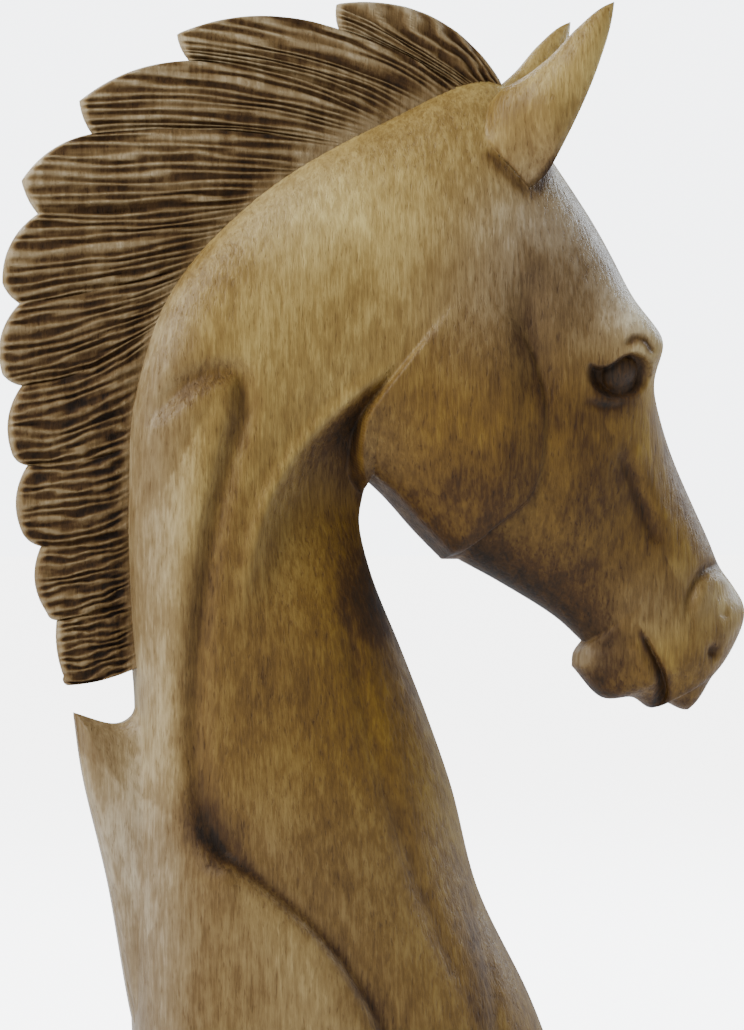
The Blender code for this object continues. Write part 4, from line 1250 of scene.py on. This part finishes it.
def tone_ramp(tree, value):
    """Turn a tone from 0 to 1 into a wood colour."""
    ramp = tree.nodes.new("ShaderNodeValToRGB")
    elements = ramp.color_ramp.elements
    while len(elements) < len(WOOD_TONES):
        elements.new(0.5)
    for element, (place, colour) in zip(elements, WOOD_TONES):
        element.position = place
        element.color = (*colour, 1.0)
    tree.links.new(value, ramp.inputs[0])
    return ramp.outputs["Color"]


def varied(tree, base, parts):
    """A value raised and lowered by masks, each by its own amount around its middle."""
    for mask, amount in parts:
        swing = math_node(tree, "MULTIPLY", math_node(tree, "SUBTRACT", mask, 0.5), amount)
        base = math_node(tree, "ADD", base, swing)
    return base


def stain_group():
    """Stained grain: colour, tone and height from a tone, a tint and an amount for each layer."""
    tree = bpy.data.node_groups.new("stained_grain", "ShaderNodeTree")
    add_sockets(tree, "INPUT", "Vector", "Vector")
    add_sockets(tree, "INPUT", "Color", "Tint")
    add_sockets(tree, "INPUT", "Float", "Tone", "Tint amount", *(layer[0] for layer in GRAIN_LAYERS))
    add_sockets(tree, "OUTPUT", "Color", "Colour")
    add_sockets(tree, "OUTPUT", "Float", "Tone", "Height")
    start = tree.nodes.new("NodeGroupInput").outputs
    end = tree.nodes.new("NodeGroupOutput").inputs
    masks = {name: ranged(tree, stretched_noise(tree, start["Vector"], across, along, detail), low, high)
             for name, across, along, detail, low, high in GRAIN_LAYERS}
    tone = varied(tree, start["Tone"], [(mask, start[name]) for name, mask in masks.items()])
    mix = tree.nodes.new("ShaderNodeMix")
    mix.data_type = "RGBA"
    mix.blend_type = "MULTIPLY"
    tree.links.new(start["Tint amount"], mix.inputs[0])
    tree.links.new(tone_ramp(tree, tone), mix.inputs[6])
    tree.links.new(start["Tint"], mix.inputs[7])
    height = varied(tree, masks["Fibres"], [(masks[name], share) for name, share in HEIGHT_LAYERS])
    tree.links.new(mix.outputs[2], end["Colour"])
    tree.links.new(tone, end["Tone"])
    tree.links.new(height, end["Height"])
    return tree


stain = stain_group()
print("stained grain takes", [item.name for item in stain.interface.items_tree if item.in_out == "INPUT"])

# %% Wood of the neck and head
BODY_GRAIN = {"Clouds": 0.14, "Mottle": 0.12, "Fibres": 0.11, "Pores": -0.10}
WARM_TINT = (1.0, 0.81, 0.17)
BUMP_STRENGTH = 0.45
BODY_BUMP = 0.00035
BODY_SHINE = 0.24
EYE_POLISH = 0.22
# A range is a start and an end, then what the value is at each.
BODY_ROUGHNESS = (0.1, 0.6, 0.66, 0.40)


def new_material(name):
    """A material with its node tree and its shader."""
    material = bpy.data.materials.new(name)
    material.use_nodes = True
    return material, material.node_tree, material.node_tree.nodes["Principled BSDF"]


def attribute_number(tree, name):
    """Read a stored number in a material."""
    node = tree.nodes.new("ShaderNodeAttribute")
    node.attribute_name = name
    return node.outputs["Fac"]


def placed_stain(tree, shader, amounts, tint, bump_distance):
    """Place the stained grain in a material and lead it to the shader's colour and bump."""
    node = tree.nodes.new("ShaderNodeGroup")
    node.node_tree = stain
    coordinates = tree.nodes.new("ShaderNodeTexCoord")
    tree.links.new(coordinates.outputs["Object"], node.inputs["Vector"])
    node.inputs["Tint"].default_value = (*tint, 1.0)
    for name, amount in amounts.items():
        node.inputs[name].default_value = amount
    tree.links.new(node.outputs["Colour"], shader.inputs["Base Color"])
    bump = tree.nodes.new("ShaderNodeBump")
    bump.inputs["Strength"].default_value = BUMP_STRENGTH
    bump.inputs["Distance"].default_value = bump_distance
    tree.links.new(node.outputs["Height"], bump.inputs["Height"])
    tree.links.new(bump.outputs[0], shader.inputs["Normal"])
    return node


def body_wood():
    """Waxed wood that follows the stored tone with its painted light and shade, the warmth and the polish."""
    material, tree, shader = new_material("carved_wood")
    stained = placed_stain(tree, shader, BODY_GRAIN, WARM_TINT, BODY_BUMP)
    tree.links.new(attribute_number(tree, "tone"), stained.inputs["Tone"])
    tree.links.new(attribute_number(tree, "warmth"), stained.inputs["Tint amount"])
    polish = math_node(tree, "MULTIPLY", attribute_number(tree, "polish"), EYE_POLISH)
    rough = ranged(tree, stained.outputs["Tone"], *BODY_ROUGHNESS)
    tree.links.new(math_node(tree, "SUBTRACT", rough, polish), shader.inputs["Roughness"])
    shader.inputs["Specular IOR Level"].default_value = BODY_SHINE
    return material


carved_wood = body_wood()
print("made", carved_wood.name)

# %% Wood of the mane
MANE_GRAIN = {"Clouds": 0.14, "Mottle": 0.16, "Fibres": 0.06, "Pores": -0.08}
MANE_TINT_AMOUNT = 0.22
MANE_BUMP = 0.0005
MANE_SHINE = 0.16
MANE_ROUGHNESS = (0.0, 0.6, 0.45, 0.70)
# Painted shade deep in the cuts and a painted highlight along the rim; the mane is also darker near the root
# and low down
PAINTED_SHADE_IN_CUTS = (0.05, 0.95, 0.52, 0.08)
RIM_PAINTED_HIGHLIGHT = (0.0, 1.0, 0.08, 0.0)
REACH_TONE = (0.2, 0.9, -0.06, 0.05)
HEIGHT_TONE = (0.24, 0.52, -0.09, 0.05)


def mane_wood():
    """The same wood, with painted shade deep in the cuts, darker near the root and low on the mane, the
    ridges left pale and a painted highlight along the rim.
    """
    material, tree, shader = new_material("mane_wood")
    stained = placed_stain(tree, shader, MANE_GRAIN, WARM_TINT, MANE_BUMP)
    stained.inputs["Tint amount"].default_value = MANE_TINT_AMOUNT
    cut = attribute_number(tree, "cut")
    parts = tree.nodes.new("ShaderNodeSeparateXYZ")
    tree.links.new(tree.nodes.new("ShaderNodeTexCoord").outputs["Object"], parts.inputs[0])
    tone = ranged(tree, cut, *PAINTED_SHADE_IN_CUTS)
    for value, steps in ((attribute_number(tree, "rim"), RIM_PAINTED_HIGHLIGHT),
                         (attribute_number(tree, "reach"), REACH_TONE), (parts.outputs["Z"], HEIGHT_TONE)):
        tone = math_node(tree, "ADD", tone, ranged(tree, value, *steps))
    tree.links.new(tone, stained.inputs["Tone"])
    tree.links.new(ranged(tree, cut, *MANE_ROUGHNESS), shader.inputs["Roughness"])
    shader.inputs["Specular IOR Level"].default_value = MANE_SHINE
    return material


carved_mane_wood = mane_wood()
print("made", carved_mane_wood.name)

# %% [markdown]
# The plate becomes a mesh object, the tree cuts it, and the result is kept as a plain mesh. The
# modifier's inputs are set by their identifiers before anything is evaluated.

# %% Cut the mane and place both pieces
UNEVENNESS = 2.2


def socket_identifier(tree, name):
    """The identifier of a tree's named input."""
    return next(item.identifier for item in tree.interface.items_tree
                if item.name == name and item.in_out == "INPUT")


def cut_hairs(plate, wood):
    """Run the hair cutter on a plate and return the plain mesh."""
    holder = add_object("mane_plate", plate)
    modifier = holder.modifiers.new("hairs", "NODES")
    modifier.node_group = cutter
    modifier[socket_identifier(cutter, "Groove depth")] = HAIR_GROOVE
    modifier[socket_identifier(cutter, "Unevenness")] = UNEVENNESS
    modifier[socket_identifier(cutter, "Wood")] = wood
    graph = bpy.context.evaluated_depsgraph_get()
    mesh = bpy.data.meshes.new_from_object(holder.evaluated_get(graph))
    bpy.data.objects.remove(holder)
    return mesh


def finished_piece(name, mesh, wood):
    """Scale a mesh to metres, keep it inside the solid's box and make it a piece on the root body."""
    points, _ = mesh_arrays(mesh)
    points[:, 0] += shift_x
    points = np.clip(points * SHARE, *cad_box)
    mesh.vertices.foreach_set("co", points.ravel())
    mesh.materials.clear()
    mesh.materials.append(wood)
    mesh.polygons.foreach_set("material_index", [0] * len(mesh.polygons))
    mesh.shade_smooth()
    mesh.update()
    piece = add_object(name, mesh)
    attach(piece, "root")
    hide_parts("horse_bust")
    triangles = sum(len(face.vertices) - 2 for face in mesh.polygons)
    print(name, "has", triangles, "triangles")


finished_piece("carved_neck_and_head", body, carved_wood)
finished_piece("carved_mane", cut_hairs(mane, carved_mane_wood), carved_mane_wood)

# %% [markdown]
# A wide sheet of white paper under the object and an even white surrounding give a plain pale studio with
# no horizon, from every side. Three soft square lamps light it. A warm one from the upper left and front
# models the forms, as in the photograph, a cool one from the right puts a shine along the face, and a
# weak one comes from behind. Paper and surroundings are brighter to the camera than to the wood, so they
# go pale without filling the wood's shadows.

# %% Floor
PAPER_HALF = 30.0
PAPER_COLOUR = (0.90, 0.91, 0.92, 1.0)
PAPER_ROUGHNESS = 0.9
# Strength of the glow on the wood, and towards the camera
PAPER_GLOW = (0.25, 5.0)
SKY_GLOW = (0.42, 5.5)


def seen_or_on_wood(tree, on_wood, seen):
    """One strength towards the camera and another on the wood."""
    to_camera = tree.nodes.new("ShaderNodeLightPath").outputs["Is Camera Ray"]
    return ranged(tree, to_camera, 0.0, 1.0, on_wood, seen)


def paper_floor():
    """A square of glowing white paper under the object."""
    corners = [(x * PAPER_HALF, y * PAPER_HALF, 0.0) for x, y in ((-1, -1), (1, -1), (1, 1), (-1, 1))]
    mesh = bpy.data.meshes.new("paper_floor")
    mesh.from_pydata(corners, [], [(0, 1, 2, 3)])
    material, tree, shader = new_material("studio_paper")
    shader.inputs["Base Color"].default_value = PAPER_COLOUR
    shader.inputs["Roughness"].default_value = PAPER_ROUGHNESS
    shader.inputs["Emission Color"].default_value = (1.0, 1.0, 1.0, 1.0)
    tree.links.new(seen_or_on_wood(tree, *PAPER_GLOW), shader.inputs["Emission Strength"])
    mesh.materials.append(material)
    paper = add_object("paper_floor", mesh)


paper_floor()
print("paper floor is", 2 * PAPER_HALF, "m wide")

# %% Soft studio light
AIM = (0.0, 0.0, 0.35)
SKY_COLOUR = (0.93, 0.96, 1.0, 1.0)
# Columns: name, place, width of its square in metres, power in watts and colour
LAMPS = (
    ("upper_left_window", (-1.5, -0.8, 1.6), 1.0, 53.0, (1.0, 0.98, 0.95)),
    ("right_window", (1.7, 0.5, 1.25), 1.0, 62.0, (0.74, 0.85, 1.0)),
    ("behind_above", (-0.6, 1.2, 1.5), 0.8, 18.0, (0.88, 0.93, 1.0)),
)


def soft_lamp(name, place, size, power, colour):
    """A square area lamp that shines from a place towards the middle of the object."""
    light = bpy.data.lights.new(name, "AREA")
    light.size = size
    light.energy = power
    light.color = colour
    lamp = add_object(name, light)
    lamp.location = place
    lamp.rotation_euler = (Vector(AIM) - Vector(place)).to_track_quat("-Z", "Y").to_euler()


def studio_world():
    """An even pale surrounding."""
    world = bpy.data.worlds.new("studio")
    world.use_nodes = True
    background = world.node_tree.nodes["Background"]
    background.inputs["Color"].default_value = SKY_COLOUR
    strength = seen_or_on_wood(world.node_tree, *SKY_GLOW)
    world.node_tree.links.new(strength, background.inputs["Strength"])
    bpy.context.scene.world = world


studio_world()
for lamp_row in LAMPS:
    soft_lamp(*lamp_row)
